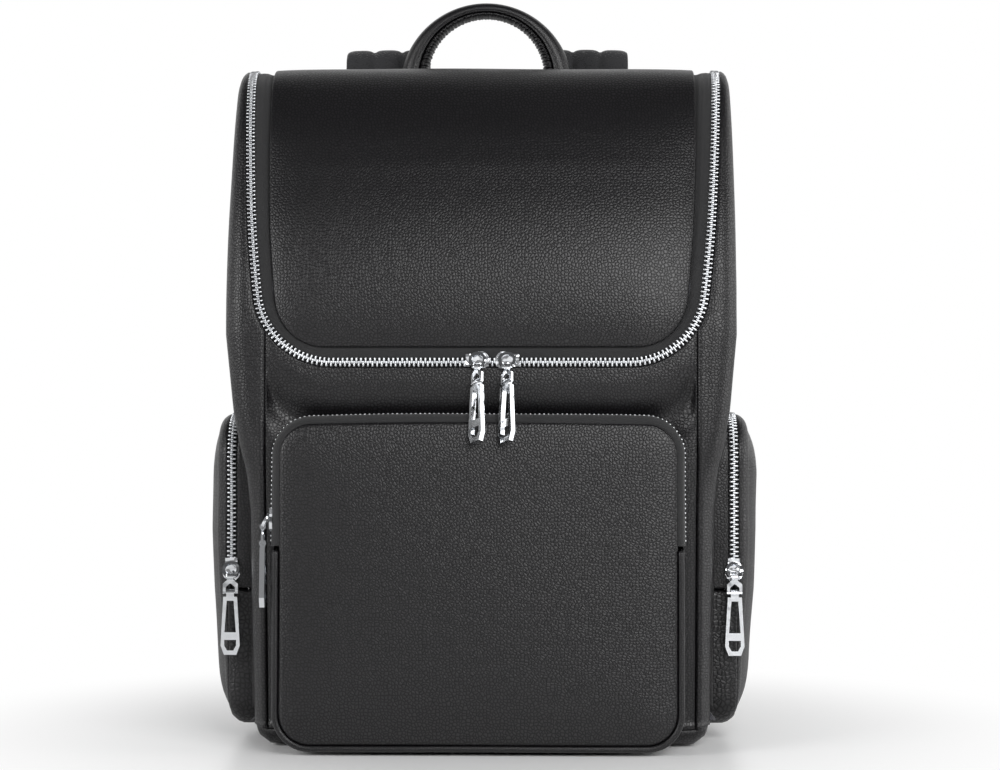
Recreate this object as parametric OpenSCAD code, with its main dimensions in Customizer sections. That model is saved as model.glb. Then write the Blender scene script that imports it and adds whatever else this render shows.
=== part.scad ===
// Leather backpack with a wrap-over flap, front pocket, two side pockets,
// carry handle and padded shoulder straps. Millimetres, +Z up, front to -Y,
// origin on the floor under the middle of the body.

/* [Body] */
// Full width of the body at its fullest
body_w = 322; // [320:1:326]
// Width of the body at the floor
base_w = 292; // [288:1:296]
// Distance from the centre plane to the back panel
back_y = 75; // [74:0.5:76]
// Distance from the centre plane to the foot of the front panel
front_y = 79; // [77:0.5:80]
// Height of the crown above the floor
body_h = 441; // [440:0.5:442]
// Thickness of the padded leather wall
wall = 4; // [3.5:0.5:4.5]
// Thickness of the outer leather of the flap
leather = 2.2; // [2:0.1:2.4]

/* [Main zip] */
// Half the width between the two upright runs of the zip
zip_half = 150; // [148:1:151]
// Corner radius where the zip turns from its front run to its upright runs
zip_corner = 46; // [40:1:50]
// Distance along the front from the foot to the front run of the zip
zip_v = 231; // [229:1:233]
// Distance between neighbouring teeth on one side of a zip
pitch = 2.9; // [2.8:0.1:3.2]
// Places of the two main sliders on the front run
main_slider_x = [-2, 16.6];
// Angle at which the main pullers lean out over the front pocket
puller_lean = 22; // [20:1:24]
// Angle at which the main pullers are turned to the side
puller_turn = -48; // [-50:2:0]

/* [Front pocket] */
// Width of the front pocket
pocket_w = 260; // [256:1:262]
// Height of the front pocket
pocket_h = 210; // [206:1:212]
// Distance from the centre plane to the foot of the pocket face
pocket_y = 114; // [112:0.5:116]
// Angle at which the pocket face leans back
pocket_tilt = 3; // [2.5:0.5:3.5]
// Height at which the pocket zip ends on both sides
pocket_zip_end = 128; // [124:1:132]

/* [Side pockets] */
// Overall width across both side pockets
overall_w = 361; // [356:1:364]
// Height of the top of the side pockets
side_top = 211; // [206:1:214]
// Height at which the side pocket zips end
side_zip_end = 98; // [92:1:104]

/* [Handle and straps] */
// Height of the top of the carry handle
handle_top = 493.5; // [488:0.5:496]
// Distance of each shoulder strap from the centre plane at the top
strap_x = 67; // [64:1:70]
// Width of each shoulder strap at the top
strap_w = 61; // [56:1:64]
// Height of the top of the shoulder straps
strap_top = 463; // [460:0.5:466]

/* [Hidden] */

leather_black = [0.16, 0.155, 0.16];
lining_grey = [0.25, 0.25, 0.27];
tape_black = [0.08, 0.08, 0.085];
chrome = [0.82, 0.83, 0.85];
web_black = [0.1, 0.1, 0.105];
sheet = 0.1;             // thickness of the slices that a rounded body is stretched over
reach = 600;             // longer than any cut that has to pass right through
gap = 0.3;               // free space kept between pieces that move past each other

// ---- The side outline: a walk up the front, over the top and down the back ----
// each stretch is [length, turn in degrees], starting at the foot and leaning forward
foot_z = 15;
foot_heading = 94;
flap_arc = [[103, 25], [36.4, 0], [47.3, 14], [43.2, 51]];
top_run = 51.5;
back_corner = 15;
outline = concat([[150, 0], [60, 4], [25, 0]], flap_arc,
                 [[top_run, 6], [back_corner * 84 * PI / 180, 84]]);

function turn_shift(h, a, r) = r * [sin(h) - sin(h - a), cos(h - a) - cos(h)];
function stretch(p, h, len, a) =
    a == 0 ? p + len * [cos(h), sin(h)] : p + turn_shift(h, a, len * 180 / (PI * a));
// point [y, z, heading] at distance v along the outline
function walk(v, k = 0, p = [-front_y, foot_z], h = foot_heading) =
    let (len = outline[k][0], a = outline[k][1])
    v <= len || k == len(outline) - 1
        ? let (part = v / len, q = stretch(p, h, v, a * part)) [q[0], q[1], h - a * part]
        : walk(v - len, k + 1, stretch(p, h, len, a), h - a);
// the same point moved inward by depth
function at(v, depth) = let (w = walk(v)) [w[0] + depth * sin(w[2]), w[1] - depth * cos(w[2])];
function sum(list, n, k = 0) = k >= n ? 0 : list[k][0] + sum(list, n, k + 1);
function stops(k) = outline[k][1] == 0 ? 1 : max(2, ceil(outline[k][1] / 5));
outline_v = [for (k = [0:len(outline) - 1]) for (i = [0:stops(k) - 1])
    sum(outline, k) + i * outline[k][0] / stops(k)];
outline_end = sum(outline, len(outline));
apex_v = sum(outline, 7);
hinge_y = 42;
hinge_v = apex_v + hinge_y - walk(apex_v)[0];
hinge_z = walk(hinge_v)[1];

// a prism across the bag from an outline in [y, z]
module across(width, center = true) {
    rotate([90, 0, 90]) linear_extrude(width, center = center) children();
}
// a prism from front to back from an outline in [x, z]
module front_to_back(depth) {
    rotate([90, 0, 0]) linear_extrude(depth, center = true) children();
}
module block(low, high) {
    translate(low) cube(high - low);
}

// everything behind and under the side outline, set in by depth
module under_outline(depth, width) {
    across(width) polygon(concat(
        [[at(0, depth)[0], -foot_z]],
        [for (v = outline_v) at(v, depth)],
        [at(outline_end, depth), [at(outline_end, depth)[0], -foot_z]]));
}
// a strip of the skin between two depths and two distances along the outline
module skin_strip(v0, v1, outer, inner, width) {
    vs = concat([v0], [for (v = outline_v) if (v > v0 && v < v1) v], [v1]);
    across(width) polygon(concat(
        [for (v = vs) at(v, outer)],
        [for (i = [len(vs) - 1:-1:0]) at(vs[i], inner)]));
}

// the soft box: slices of rounded rectangle, each [height, half width, set in front and back]
slices = [[0, base_w / 2 - 8, 9], [4, base_w / 2 - 3, 3], [14, base_w / 2, 0], [320, body_w / 2, 0],
          [400, body_w / 2, 0], [428, 158.5, 0], [437, 154, 0], [body_h, 146, 0]];
front_box = 92;
front_corner_r = 12;
rear_corner_r = 24;
module soft_box(depth) {
    hull()
        for (s = slices)
            for (sx = [-1, 1])
                for (end = [[-(front_box - depth - s[2]), 1, front_corner_r],
                            [back_y - depth - s[2], -1, rear_corner_r]])
                    translate([sx * (s[1] - end[2]), end[0] + end[1] * (end[2] - depth),
                               min(max(s[0], depth), body_h - depth)])
                        cylinder(r = end[2] - depth, h = sheet, $fn = 24);
}
module body(depth) {
    intersection() {
        soft_box(depth);
        under_outline(depth, reach);
    }
}
module body_wall() {
    difference() {
        body(0);
        body(wall);
    }
}

// ---- The parts that the wall is cut into ----
front_half = 136;        // half width of the front panel
back_half = 132;         // half width of the back panel
back_edge = 60;          // where the side panels meet the back panel
base_seam = 12;          // height of the seam round the base
mouth_half = zip_half + 7;
zip_low = walk(zip_v)[1];
mouth_low = zip_low - 6;
yoke_half = 150;
back_seam = 424;

// a U outline, open at the top: half width, height of its foot and corner radius
module u_shape(half, low, r) {
    translate([-half, low + r]) square([2 * half, body_h]);
    translate([-half + r, low]) square([2 * (half - r), r + 1]);
    for (sx = [-1, 1]) translate([sx * (half - r), low + r]) circle(r, $fn = 96);
}
module u_prism(half, low, r) {
    intersection() {
        front_to_back(reach) u_shape(half, low, r);
        block([-reach, -reach, 0], [reach, hinge_y, reach]);
    }
}
module mouth() {
    u_prism(mouth_half, mouth_low, zip_corner + 6);
}
module front_region() {
    block([-front_half, -reach, base_seam], [front_half, -45, reach]);
}
module back_region() {
    block([-back_half, back_edge, base_seam], [back_half, reach, back_seam]);
}
module yoke_region() {
    block([-yoke_half, hinge_y, back_seam], [yoke_half, reach, reach]);
}

module front_panel() {
    color(leather_black) difference() {
        intersection() {
            body_wall();
            front_region();
        }
        mouth();
    }
}
module side_panel(sx) {
    color(leather_black) difference() {
        intersection() {
            body_wall();
            block([sx < 0 ? -reach : 0, -reach, base_seam], [sx < 0 ? 0 : reach, reach, reach]);
        }
        mouth();
        front_region();
        back_region();
        yoke_region();
        block([-back_half, back_edge, base_seam], [back_half, reach, reach]);
    }
}
module back_panel() {
    color(leather_black) intersection() {
        body_wall();
        back_region();
    }
}
module top_yoke() {
    color(leather_black) intersection() {
        body_wall();
        union() {
            yoke_region();
            block([-back_half, back_edge, back_seam], [back_half, reach, reach]);
        }
    }
}
module base_panel() {
    color(leather_black) intersection() {
        body_wall();
        block([-reach, -reach, -1], [reach, reach, base_seam]);
    }
}
board = [270, 128, 2.5];
module base_board() {
    color(lining_grey) translate([0, -4, wall + board[2] / 2]) cube(board, center = true);
}
divider_t = 3;
divider_y = 52;
divider_top = 345;
module laptop_divider() {
    foot = base_w / 2 - wall - 0.5;
    color(lining_grey) translate([0, divider_y + divider_t / 2, 0]) rotate([90, 0, 0])
        linear_extrude(divider_t)
            polygon([[-foot, base_seam + 2], [foot, base_seam + 2],
                     [foot + 12, divider_top], [-foot - 12, divider_top]]);
}
// padded cushions on the back, each with three upright channels
pad_low = 146;
pad_high = 385;
pad_proud = 7;
lobe_w = 32;
module back_pads() {
    color(web_black) for (sx = [-1, 1]) for (i = [-1, 0, 1])
        translate([sx * 66 + i * lobe_w, 0, 0])
            intersection() {
                block([-lobe_w / 2, back_y, pad_low], [lobe_w / 2, back_y + pad_proud, pad_high]);
                translate([0, back_y + pad_proud - 24, 0]) cylinder(r = 24, h = body_h, $fn = 64);
            }
}

// ---- Flap ----
flap_half = 139;
flap_low = zip_low + 8.7;
flap_corner = 34;
tape_w = 15;             // width of each zip tape from the teeth outward
tape_top = leather;      // depth of the tapes under the leather
tape_t = 1;
module flap_leather() {
    color(leather_black) intersection() {
        skin_strip(zip_v, hinge_v - gap, 0, leather, 2 * zip_half);
        u_prism(flap_half, flap_low, flap_corner);
    }
}
tooth_gap = 0.3;         // half the space between the two rows of a closed zip
tooth_w = 2.6;           // length of a tooth across the zip
tooth_l = 1.3;           // length of a tooth along the zip
tooth_t = 2.4;           // thickness of a tooth
tooth_depth = 2.7;       // depth of the middle of the main teeth under the leather surface
row = tooth_gap + tooth_w;
slider_l = 15;
slider_w = 11;
module tape_notches() {
    for (x = main_slider_x)
        translate([x, 0, zip_low]) cube([slider_l + 2, reach, slider_w + 1.4], center = true);
}
module main_tape_flap() {
    color(tape_black) difference() {
        intersection() {
            skin_strip(zip_v, hinge_v - gap, tape_top, tape_top + tape_t, 2 * zip_half);
            u_prism(zip_half - row - 0.1, zip_low + row + 0.1, zip_corner - row);
        }
        u_prism(zip_half - row - tape_w, zip_low + row + tape_w, zip_corner - row - tape_w);
        tape_notches();
    }
}
module flap_lining() {
    color(lining_grey) intersection() {
        skin_strip(zip_v, hinge_v - gap, tape_top, wall, 2 * zip_half);
        u_prism(zip_half - row - tape_w - 0.1, zip_low + row + tape_w + 0.1, zip_corner - row - tape_w);
    }
}
module main_tape_body() {
    color(tape_black) difference() {
        intersection() {
            skin_strip(zip_v - 20, hinge_v, tape_top, tape_top + tape_t, 2 * mouth_half);
            mouth();
        }
        u_prism(zip_half + row + 0.1, zip_low - row - 0.1, zip_corner + row);
    }
}

// the path of the zip on the skin laid flat: [x, v, heading] at distance s from the middle
flat_run = zip_half - zip_corner;
turn_run = zip_corner * PI / 2;
function zip_path(s) =
    s < flat_run ? [s, zip_v, 0]
    : s < flat_run + turn_run
        ? let (a = (s - flat_run) / zip_corner * 180 / PI)
          [flat_run + zip_corner * sin(a), zip_v + zip_corner * (1 - cos(a)), a]
        : [zip_half, zip_v + zip_corner + s - flat_run - turn_run, 90];
zip_run = flat_run + turn_run + hinge_v - zip_v - zip_corner - pitch;
// one tooth: inner is 1 for the flap's row and -1 for the body's row
module main_tooth(s, inner) {
    p = zip_path(abs(s));
    off = inner * (tooth_gap + tooth_w / 2);
    x = p[0] - off * sin(p[2]);
    w = walk(p[1] + off * cos(p[2]));
    translate([(s < 0 ? -1 : 1) * x, w[0] + tooth_depth * sin(w[2]), w[1] - tooth_depth * cos(w[2])])
        rotate([w[2] - 90, 0, 0])
            rotate([0, s < 0 ? p[2] : -p[2], 0])
                cube([tooth_l, tooth_t, tooth_w], center = true);
}
teeth_half = floor(zip_run / pitch);
function clear_of_sliders(s) =
    min([for (x = main_slider_x) abs(s - x)]) > slider_l / 2 + tooth_l;
module main_teeth_flap() {
    color(chrome)
        for (i = [-teeth_half:teeth_half])
            if (clear_of_sliders(i * pitch)) main_tooth(i * pitch, 1);
}
module main_teeth_body() {
    color(chrome)
        for (i = [-teeth_half:teeth_half - 1]) main_tooth((i + 0.5) * pitch, -1);
}

// ---- Sliders, links and pullers ----
// Each is drawn for a zip in the plane y = 0 whose outside is towards -Y.
plate_t = 1.3;
plate_in = tooth_t / 2 + gap;       // inner face of each plate
plate_out = plate_in + plate_t;
channel = row + 0.4;
tape_slot = 0.9;
post = [3, 0.4];                    // the divider between the two rows
pin_y = -plate_out - 4.3;           // the bail's bar, which the link's eye turns on
pin_z = -4.2;
pin_r = 1;
pin_half = 3.4;
eye_r = pin_r + 1;
eye_half = 1.9;
wire_r = 0.95;
fit = 0.08;                         // running clearance of an eye on its pin
link_drop = 10.3;                   // from the bail's bar to the puller's pin
link_half = 3.9;                    // middle of the link's side wires

module rod(a, b, r) {
    d = b - a;
    translate(a) rotate([0, acos(d[2] / norm(d)), atan2(d[1], d[0])])
        cylinder(r = r, h = norm(d), $fn = 32);
    translate(b) sphere(r, $fn = 32);
}
module bar(half, r) {
    rotate([0, 90, 0]) cylinder(r = r, h = 2 * half, center = true, $fn = 32);
}
// a slider plate: square tail, shoulders and a rounded head towards +X
head_r = 5.6;
module plate_outline() {
    head_x = slider_l / 2 - head_r;
    translate([head_x, 0]) circle(head_r, $fn = 48);
    polygon([[-slider_l / 2, -3.9], [-2, -3.9], [0, -5], [head_x, 0.1 - head_r],
             [head_x, head_r - 0.1], [0, 5], [-2, 3.9], [-slider_l / 2, 3.9]]);
}
module slider_plates() {
    difference() {
        rotate([90, 0, 0]) linear_extrude(2 * plate_out, center = true) plate_outline();
        cube([reach, 2 * plate_in, 2 * channel], center = true);
        cube([reach, 2 * tape_slot, reach], center = true);
    }
    cube([post[0], 2 * plate_in + 1, post[1]], center = true);
}
// a ring that rises from the plate and holds the pin of the link across its foot
bail_r = 5.6;
bail_w = 1.9;
bail_t = 1.8;
bail_rise = 27;
module bail() {
    translate([0, pin_y, pin_z]) bar(pin_half, pin_r);
    difference() {
        translate([0, (pin_y - plate_out) / 2 - 0.2, 0]) rotate([90 - bail_rise, 0, 0]) difference() {
            cylinder(r = bail_r, h = bail_t, center = true, $fn = 64);
            cylinder(r = bail_r - bail_w, h = reach, center = true, $fn = 64);
        }
        translate([0, pin_y, pin_z - 0.5]) cube([2 * eye_half + 1, 6, 2 * eye_r + 2.4], center = true);
        block([-reach, 0.3 - plate_out, -reach], [reach, reach, reach]);
    }
}
// turn is the angle of the head below the +X axis, seen from the front
module slider(turn) {
    color(chrome) {
        rotate([0, turn, 0]) slider_plates();
        bail();
    }
}
// the eye turns on the bail's bar at the origin, the lower pin hangs link_drop below it
link_neck = 1.3;                    // half width of the link just under the eye
link_shoulder = -4.6;               // height of the shoulders of the link
module link(turn) {
    outer = link_half + wire_r;
    inner = link_half - wire_r;
    color(chrome) difference() {
        union() {
            bar(eye_half, eye_r);
            rotate([0, 0, turn]) {
                translate([0, 0, -link_drop]) bar(outer, wire_r);
                rotate([90, 0, 0]) linear_extrude(1.7 * wire_r, center = true) difference() {
                    polygon([[-link_neck, 0.5 - eye_r], [-outer, link_shoulder], [-outer, -link_drop],
                             [outer, -link_drop], [outer, link_shoulder], [link_neck, 0.5 - eye_r]]);
                    polygon([[-0.4, link_shoulder], [-inner, link_shoulder - 2.2], [-inner, -reach],
                             [inner, -reach], [inner, link_shoulder - 2.2], [0.4, link_shoulder]]);
                }
            }
        }
        bar(pin_half, pin_r + fit);
    }
}
puller_l = 40;                      // from the pin to the tip
puller_t = 3.2;
puller_top = 9;
puller_wide = 12.4;
neck_w = 5;
shoulder_z = -2.6;
module window(top, low, top_half, low_half) {
    polygon([[-top_half, top], [-low_half, low], [low_half, low], [top_half, top]]);
}
// the neck turns on the link's lower pin at the origin
module puller(turn) {
    color(chrome) rotate([0, 0, turn]) difference() {
        union() {
            bar(neck_w / 2, 2.2);
            translate([0, 0, shoulder_z / 2 - 0.5])
                cube([neck_w, puller_t, 1 - shoulder_z], center = true);
            rotate([90, 0, 0]) linear_extrude(puller_t, center = true)
                polygon([[-puller_top / 2, shoulder_z], [-puller_wide / 2, 6 - puller_l], [-4, -puller_l],
                         [4, -puller_l], [puller_wide / 2, 6 - puller_l], [puller_top / 2, shoulder_z]]);
        }
        bar(neck_w, wire_r + fit);
        rotate([90, 0, 0]) linear_extrude(reach, center = true) {
            window(shoulder_z - 2.6, 14.5 - puller_l, 2.2, 3.7);
            window(9.6 - puller_l, 6 - puller_l, 3.8, 3.8);
            window(6 - puller_l, 2.8 - puller_l, 3.8, 2);
        }
    }
}
// the places of the five sets, each in the frame of its own zip
module on_main_zip(k) {
    translate([main_slider_x[k], walk(zip_v)[0] + tooth_depth, zip_low]) children();
}
module hung(lean) {
    translate([0, pin_y, pin_z]) rotate([-lean, 0, 0]) children();
}
module main_slider(k) {
    on_main_zip(k) slider(180 * k);
}
module main_link(k) {
    on_main_zip(k) hung(puller_lean) link(puller_turn);
}
module main_puller(k) {
    on_main_zip(k) hung(puller_lean) translate([0, 0, -link_drop]) puller(puller_turn);
}

// ---- Front pocket, drawn upright with its face on y = 0 and then leaned back ----
pocket_foot = 2;
pocket_half = pocket_w / 2;
pocket_r = 24;
face_set_in = 5.2;
face_t = 3;
face_corner = 19;
pocket_wall = 2.5;
pocket_zip_y = 7.5;      // middle of the zip behind the face
tape_in = 0.4;           // outer face of the tapes under the outline
side_depth = 0.9;        // depth of the middle of the teeth of the pocket zips
module in_pocket() {
    translate([0, -pocket_y, pocket_foot]) rotate([-pocket_tilt, 0, 0]) children();
}
module round_outline(half, low, high, r) {
    translate([-half, low + r]) square([2 * half, high - low - 2 * r]);
    translate([-half + r, low]) square([2 * (half - r), high - low]);
    for (x = [r - half, half - r]) for (z = [low + r, high - r]) translate([x, z]) circle(r, $fn = 96);
}
module pocket_outline(set_in, r) {
    round_outline(pocket_half - set_in, set_in, pocket_h - set_in, r);
}
module layer(y0, y1) {
    translate([0, (y0 + y1) / 2, 0]) front_to_back(y1 - y0) children();
}
module pocket_ring(outer, inner, y0, y1) {
    layer(y0, y1) difference() {
        pocket_outline(outer, pocket_r - outer);
        pocket_outline(inner, pocket_r - inner);
    }
}
module above_zip_end() {
    block([-reach, -reach, pocket_zip_end + gap / 2], [reach, reach, reach]);
}
module below_zip_end() {
    block([-reach, -reach, -reach], [reach, reach, pocket_zip_end - gap / 2]);
}
pocket_slider_z = 144;
module pocket_slider_notch() {
    translate([-pocket_half, pocket_zip_y, pocket_slider_z])
        cube([10, slider_w + 1.4, slider_l + 2], center = true);
}
module pocket_face() {
    layer(0, face_t) pocket_outline(face_set_in, face_corner);
}
module pocket_face_lid() {
    color(leather_black) in_pocket() intersection() {
        pocket_face();
        above_zip_end();
    }
}
module pocket_face_lower() {
    color(leather_black) in_pocket() intersection() {
        layer(0, face_t) pocket_outline(3.7, pocket_r - 3.7);
        below_zip_end();
    }
}
lid_edge = pocket_zip_y - row;
tape_front = 0.9;        // depth of the tape behind the face of the pocket
module pocket_tape_lid() {
    color(tape_black) in_pocket() difference() {
        intersection() {
            union() {
                pocket_ring(tape_in, tape_in + tape_t, tape_front, lid_edge - 0.1);
                layer(tape_front, tape_front + tape_t) difference() {
                    pocket_outline(tape_in, pocket_r - tape_in);
                    pocket_outline(face_set_in, face_corner);
                }
            }
            above_zip_end();
        }
        pocket_slider_notch();
    }
}
gusset_y = 14;
gusset_end = 50;
module pocket_tape_gusset() {
    color(tape_black) difference() {
        in_pocket() intersection() {
            pocket_ring(tape_in, tape_in + tape_t, pocket_zip_y + row + 0.1, gusset_y);
            above_zip_end();
        }
        under_outline(0, reach);
    }
}
piping_r = 1.75;
module pocket_gusset() {
    color(leather_black) difference() {
        in_pocket() {
            pocket_ring(0, pocket_wall, gusset_y, gusset_end);
            intersection() {
                pocket_ring(0, pocket_wall, 2 * piping_r, gusset_y + 1);
                below_zip_end();
            }
        }
        under_outline(0, reach);
    }
}
// a bead of piping down both sides and round the foot of the pocket
module pocket_piping() {
    color(leather_black) in_pocket() translate([0, piping_r, 0]) {
        for (sx = [-1, 1]) {
            translate([sx * (pocket_half - piping_r), 0, pocket_r])
                cylinder(r = piping_r, h = pocket_zip_end - 1 - pocket_r, $fn = 32);
            translate([sx * (pocket_half - pocket_r), 0, pocket_r]) rotate([90, 0, 0])
                rotate([0, 0, sx > 0 ? 270 : 180]) rotate_extrude(angle = 90, $fn = 64)
                    translate([pocket_r - piping_r, 0]) circle(piping_r, $fn = 32);
        }
        translate([0, 0, piping_r]) bar(pocket_half - pocket_r, piping_r);
    }
}
// a zip path over the top of a pocket: [across, down, heading] at distance s from the middle
function arch(s, half, r) =
    s < half - r ? [s, 0, 0]
    : s < half - r + r * PI / 2
        ? let (a = (s - half + r) / r * 180 / PI) [half - r + r * sin(a), r * (1 - cos(a)), a]
        : [half, r + s - (half - r) - r * PI / 2, 90];
function arch_run(half, r, drop) = half - r + r * PI / 2 + drop - r;
pocket_run = arch_run(pocket_half - side_depth, pocket_r - side_depth,
                      pocket_h - side_depth - pocket_zip_end - 1);
pocket_teeth_half = floor(pocket_run / pitch);
module pocket_tooth(s, y) {
    p = arch(abs(s), pocket_half - side_depth, pocket_r - side_depth);
    sx = s < 0 ? -1 : 1;
    translate([sx * p[0], y, pocket_h - side_depth - p[1]]) rotate([0, sx * p[2], 0])
        cube([tooth_l, tooth_w, tooth_t], center = true);
}
pocket_slider_s = arch_run(pocket_half - side_depth, pocket_r - side_depth,
                           pocket_h - side_depth - pocket_slider_z);
module pocket_teeth_lid() {
    color(chrome) in_pocket() for (i = [-pocket_teeth_half:pocket_teeth_half])
        if (abs(i * pitch + pocket_slider_s) > slider_l / 2 + tooth_l)
            pocket_tooth(i * pitch, pocket_zip_y - tooth_gap - tooth_w / 2);
}
module pocket_teeth_gusset() {
    color(chrome) in_pocket() for (i = [-pocket_teeth_half:pocket_teeth_half - 1])
        pocket_tooth((i + 0.5) * pitch, pocket_zip_y + tooth_gap + tooth_w / 2);
}
module on_pocket_zip() {
    in_pocket() translate([side_depth - pocket_half, pocket_zip_y, pocket_slider_z])
        rotate([0, 0, -90]) children();
}
module pocket_slider() {
    on_pocket_zip() slider(90);
}
module pocket_link() {
    on_pocket_zip() hung(0) link(0);
}
module pocket_puller() {
    on_pocket_zip() hung(0) translate([0, 0, -link_drop]) puller(0);
}

// ---- Side pockets: drawn on the right, mirrored for the left ----
side_out = overall_w / 2;
side_y = [-52, 60];
side_foot = 12;
side_r = 32;
side_foot_r = 20;
side_wall = 2.5;
side_zip_x = 162;
side_slider_z = 111;
thin = 3.6;              // width of the zip tape that shows on each side of the teeth
module mirrored(side) {
    if (side == "left") mirror([1, 0, 0]) children();
    else children();
}
// slices of the pocket from its inner edge outward: [distance out, set in all round]
side_slices = [[-60, 0], [-9.5, 0], [-3.5, 2.6], [0, 9]];
slice_t = 0.5;
module side_form(depth) {
    hull()
        for (s = side_slices)
            for (y = [[side_y[0], 1], [side_y[1], -1]])
                for (z = [[side_foot, 1, side_foot_r], [side_top, -1, side_r]])
                    translate([side_out + s[0] - depth - slice_t, y[0] + y[1] * z[2], z[0] + z[1] * z[2]])
                        rotate([0, 90, 0]) cylinder(r = z[2] - s[1] - depth, h = slice_t, $fn = 32);
}
module between_x(x0, x1) {
    block([x0, -reach, -reach], [x1, reach, reach]);
}
// the leather wall, thinned to the tape beside the zip
module side_skin() {
    difference() {
        side_form(0);
        side_form(side_wall);
        side_zip_zone();
    }
    intersection() {
        difference() {
            side_form(tape_in);
            side_form(tape_in + tape_t);
        }
        side_zip_zone();
    }
}
module side_zip_zone() {
    block([side_zip_x - row - thin, -reach, side_zip_end], [side_zip_x + row + thin, reach, reach]);
}
module above_side_end() {
    block([-reach, -reach, side_zip_end], [reach, reach, reach]);
}
module side_shell(side) {
    color(leather_black) mirrored(side) difference() {
        side_skin();
        intersection() {
            above_side_end();
            between_x(side_zip_x - row - 0.1, reach);
        }
        body(0);
    }
}
module side_lid(side) {
    color(leather_black) mirrored(side) difference() {
        intersection() {
            side_skin();
            between_x(side_zip_x + row + 0.1, reach);
            block([0, -reach, side_zip_end + gap], [reach, reach, reach]);
        }
        translate([side_zip_x, side_y[0], side_slider_z])
            cube([slider_w + 1.4, 12, slider_l + 2], center = true);
    }
}
side_mid = (side_y[0] + side_y[1]) / 2;
side_half = (side_y[1] - side_y[0]) / 2;
side_run = arch_run(side_half - side_depth, side_r - side_depth, side_top - side_depth - side_zip_end - 1);
side_teeth_half = floor(side_run / pitch);
module side_tooth(s, x) {
    p = arch(abs(s), side_half - side_depth, side_r - side_depth);
    sy = s < 0 ? -1 : 1;
    translate([x, side_mid + sy * p[0], side_top - side_depth - p[1]]) rotate([-sy * p[2], 0, 0])
        cube([tooth_w, tooth_l, tooth_t], center = true);
}
side_slider_s = arch_run(side_half - side_depth, side_r - side_depth, side_top - side_depth - side_slider_z);
module side_teeth_body(side) {
    color(chrome) mirrored(side) for (i = [-side_teeth_half:side_teeth_half - 1])
        side_tooth((i + 0.5) * pitch, side_zip_x - tooth_gap - tooth_w / 2);
}
module side_teeth_lid(side) {
    color(chrome) mirrored(side) for (i = [-side_teeth_half:side_teeth_half])
        if (i * pitch + side_slider_s > slider_l / 2 + tooth_l)
            side_tooth(i * pitch, side_zip_x + tooth_gap + tooth_w / 2);
}
// a bead of piping up the front of the pocket, in the corner of its gusset and the body
bead_r = 1.1;
bead_y = side_y[0] - bead_r - 0.1;
bead_z = [side_foot + side_foot_r, side_top - side_r];
function side_of_body(z) = base_w / 2 + (body_w - base_w) / 2 * (z - slices[2][0]) / (slices[3][0] - slices[2][0]);
module side_piping(side) {
    color(leather_black) mirrored(side)
        rod([side_of_body(bead_z[0]) + bead_r + 0.1, bead_y, bead_z[0]],
            [side_of_body(bead_z[1]) + bead_r + 0.1, bead_y, bead_z[1]], bead_r);
}
module on_side_zip(side) {
    mirrored(side) translate([side_zip_x, side_y[0] + side_depth, side_slider_z]) children();
}
module side_slider(side) {
    on_side_zip(side) slider(90);
}
module side_link(side) {
    on_side_zip(side) hung(0) link(0);
}
module side_puller(side) {
    on_side_zip(side) hung(0) translate([0, 0, -link_drop]) puller(0);
}

// ---- Carry handle ----
handle_y = 60;
handle_r = 60;
handle_in_r = 40;
handle_gap_top = handle_top - 10.4;
knuckle_r = 4;
handle_axis_z = 445.5;
module handle_arch() {
    difference() {
        translate([0, handle_top - handle_r]) circle(handle_r, $fn = 128);
        translate([0, handle_gap_top - handle_in_r]) circle(handle_in_r, $fn = 128);
        translate([-handle_in_r, 0]) square([2 * handle_in_r, handle_gap_top - handle_in_r]);
        translate([-reach, 0]) square([2 * reach, handle_axis_z - knuckle_r]);
    }
}
module carry_handle() {
    color(leather_black) translate([0, handle_y, 0]) {
        intersection() {
            front_to_back(40) handle_arch();
            across(reach) polygon([[1 - knuckle_r, handle_axis_z], [-11, handle_axis_z + 26],
                [-11, handle_top - 3], [-8, handle_top + 1], [8, handle_top + 1], [11, handle_top - 3],
                [11, handle_axis_z + 26], [knuckle_r - 1, handle_axis_z]]);
        }
        for (sx = [-1, 1]) translate([sx * 49.5, 0, handle_axis_z]) bar(8.8, knuckle_r);
    }
}
module handle_tabs() {
    color(leather_black) difference() {
        for (sx = [-1, 1])
            translate([sx * 49.5, handle_y, 0])
                block([-13, -9, 430], [13, 9, handle_axis_z - knuckle_r - gap]);
        body(0);
    }
}

// ---- Shoulder straps: drawn on the right, mirrored for the left ----
strap_t = 12;
strap_front = back_y + 1.3;
loop_r = 15;
loop_z = strap_top - loop_r;
loop_y = strap_front + loop_r;
strap_hinge = [loop_y + loop_r - strap_t / 2, loop_z - 2];
strap_low = 160;
anchor_z = [404, 424];
splay = 25;              // how far the strap runs outward on its way down
low_half = 22;
module strap_root(side) {
    color(web_black) mirrored(side) translate([strap_x, 0, 0]) across(strap_w) {
        difference() {
            translate([loop_y, loop_z]) circle(loop_r, $fn = 96);
            translate([loop_y, loop_z]) circle(loop_r - strap_t, $fn = 48);
            translate([0, 0]) square([reach, loop_z]);
        }
        translate([strap_front, anchor_z[0]]) square([strap_t, loop_z - anchor_z[0]]);
        translate([back_y, anchor_z[0]]) square([strap_t, anchor_z[1] - anchor_z[0]]);
        translate([loop_y + loop_r - strap_t, strap_hinge[1]]) square([strap_t, loop_z - strap_hinge[1]]);
        translate(strap_hinge) circle(strap_t / 2, $fn = 64);
    }
}
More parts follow.
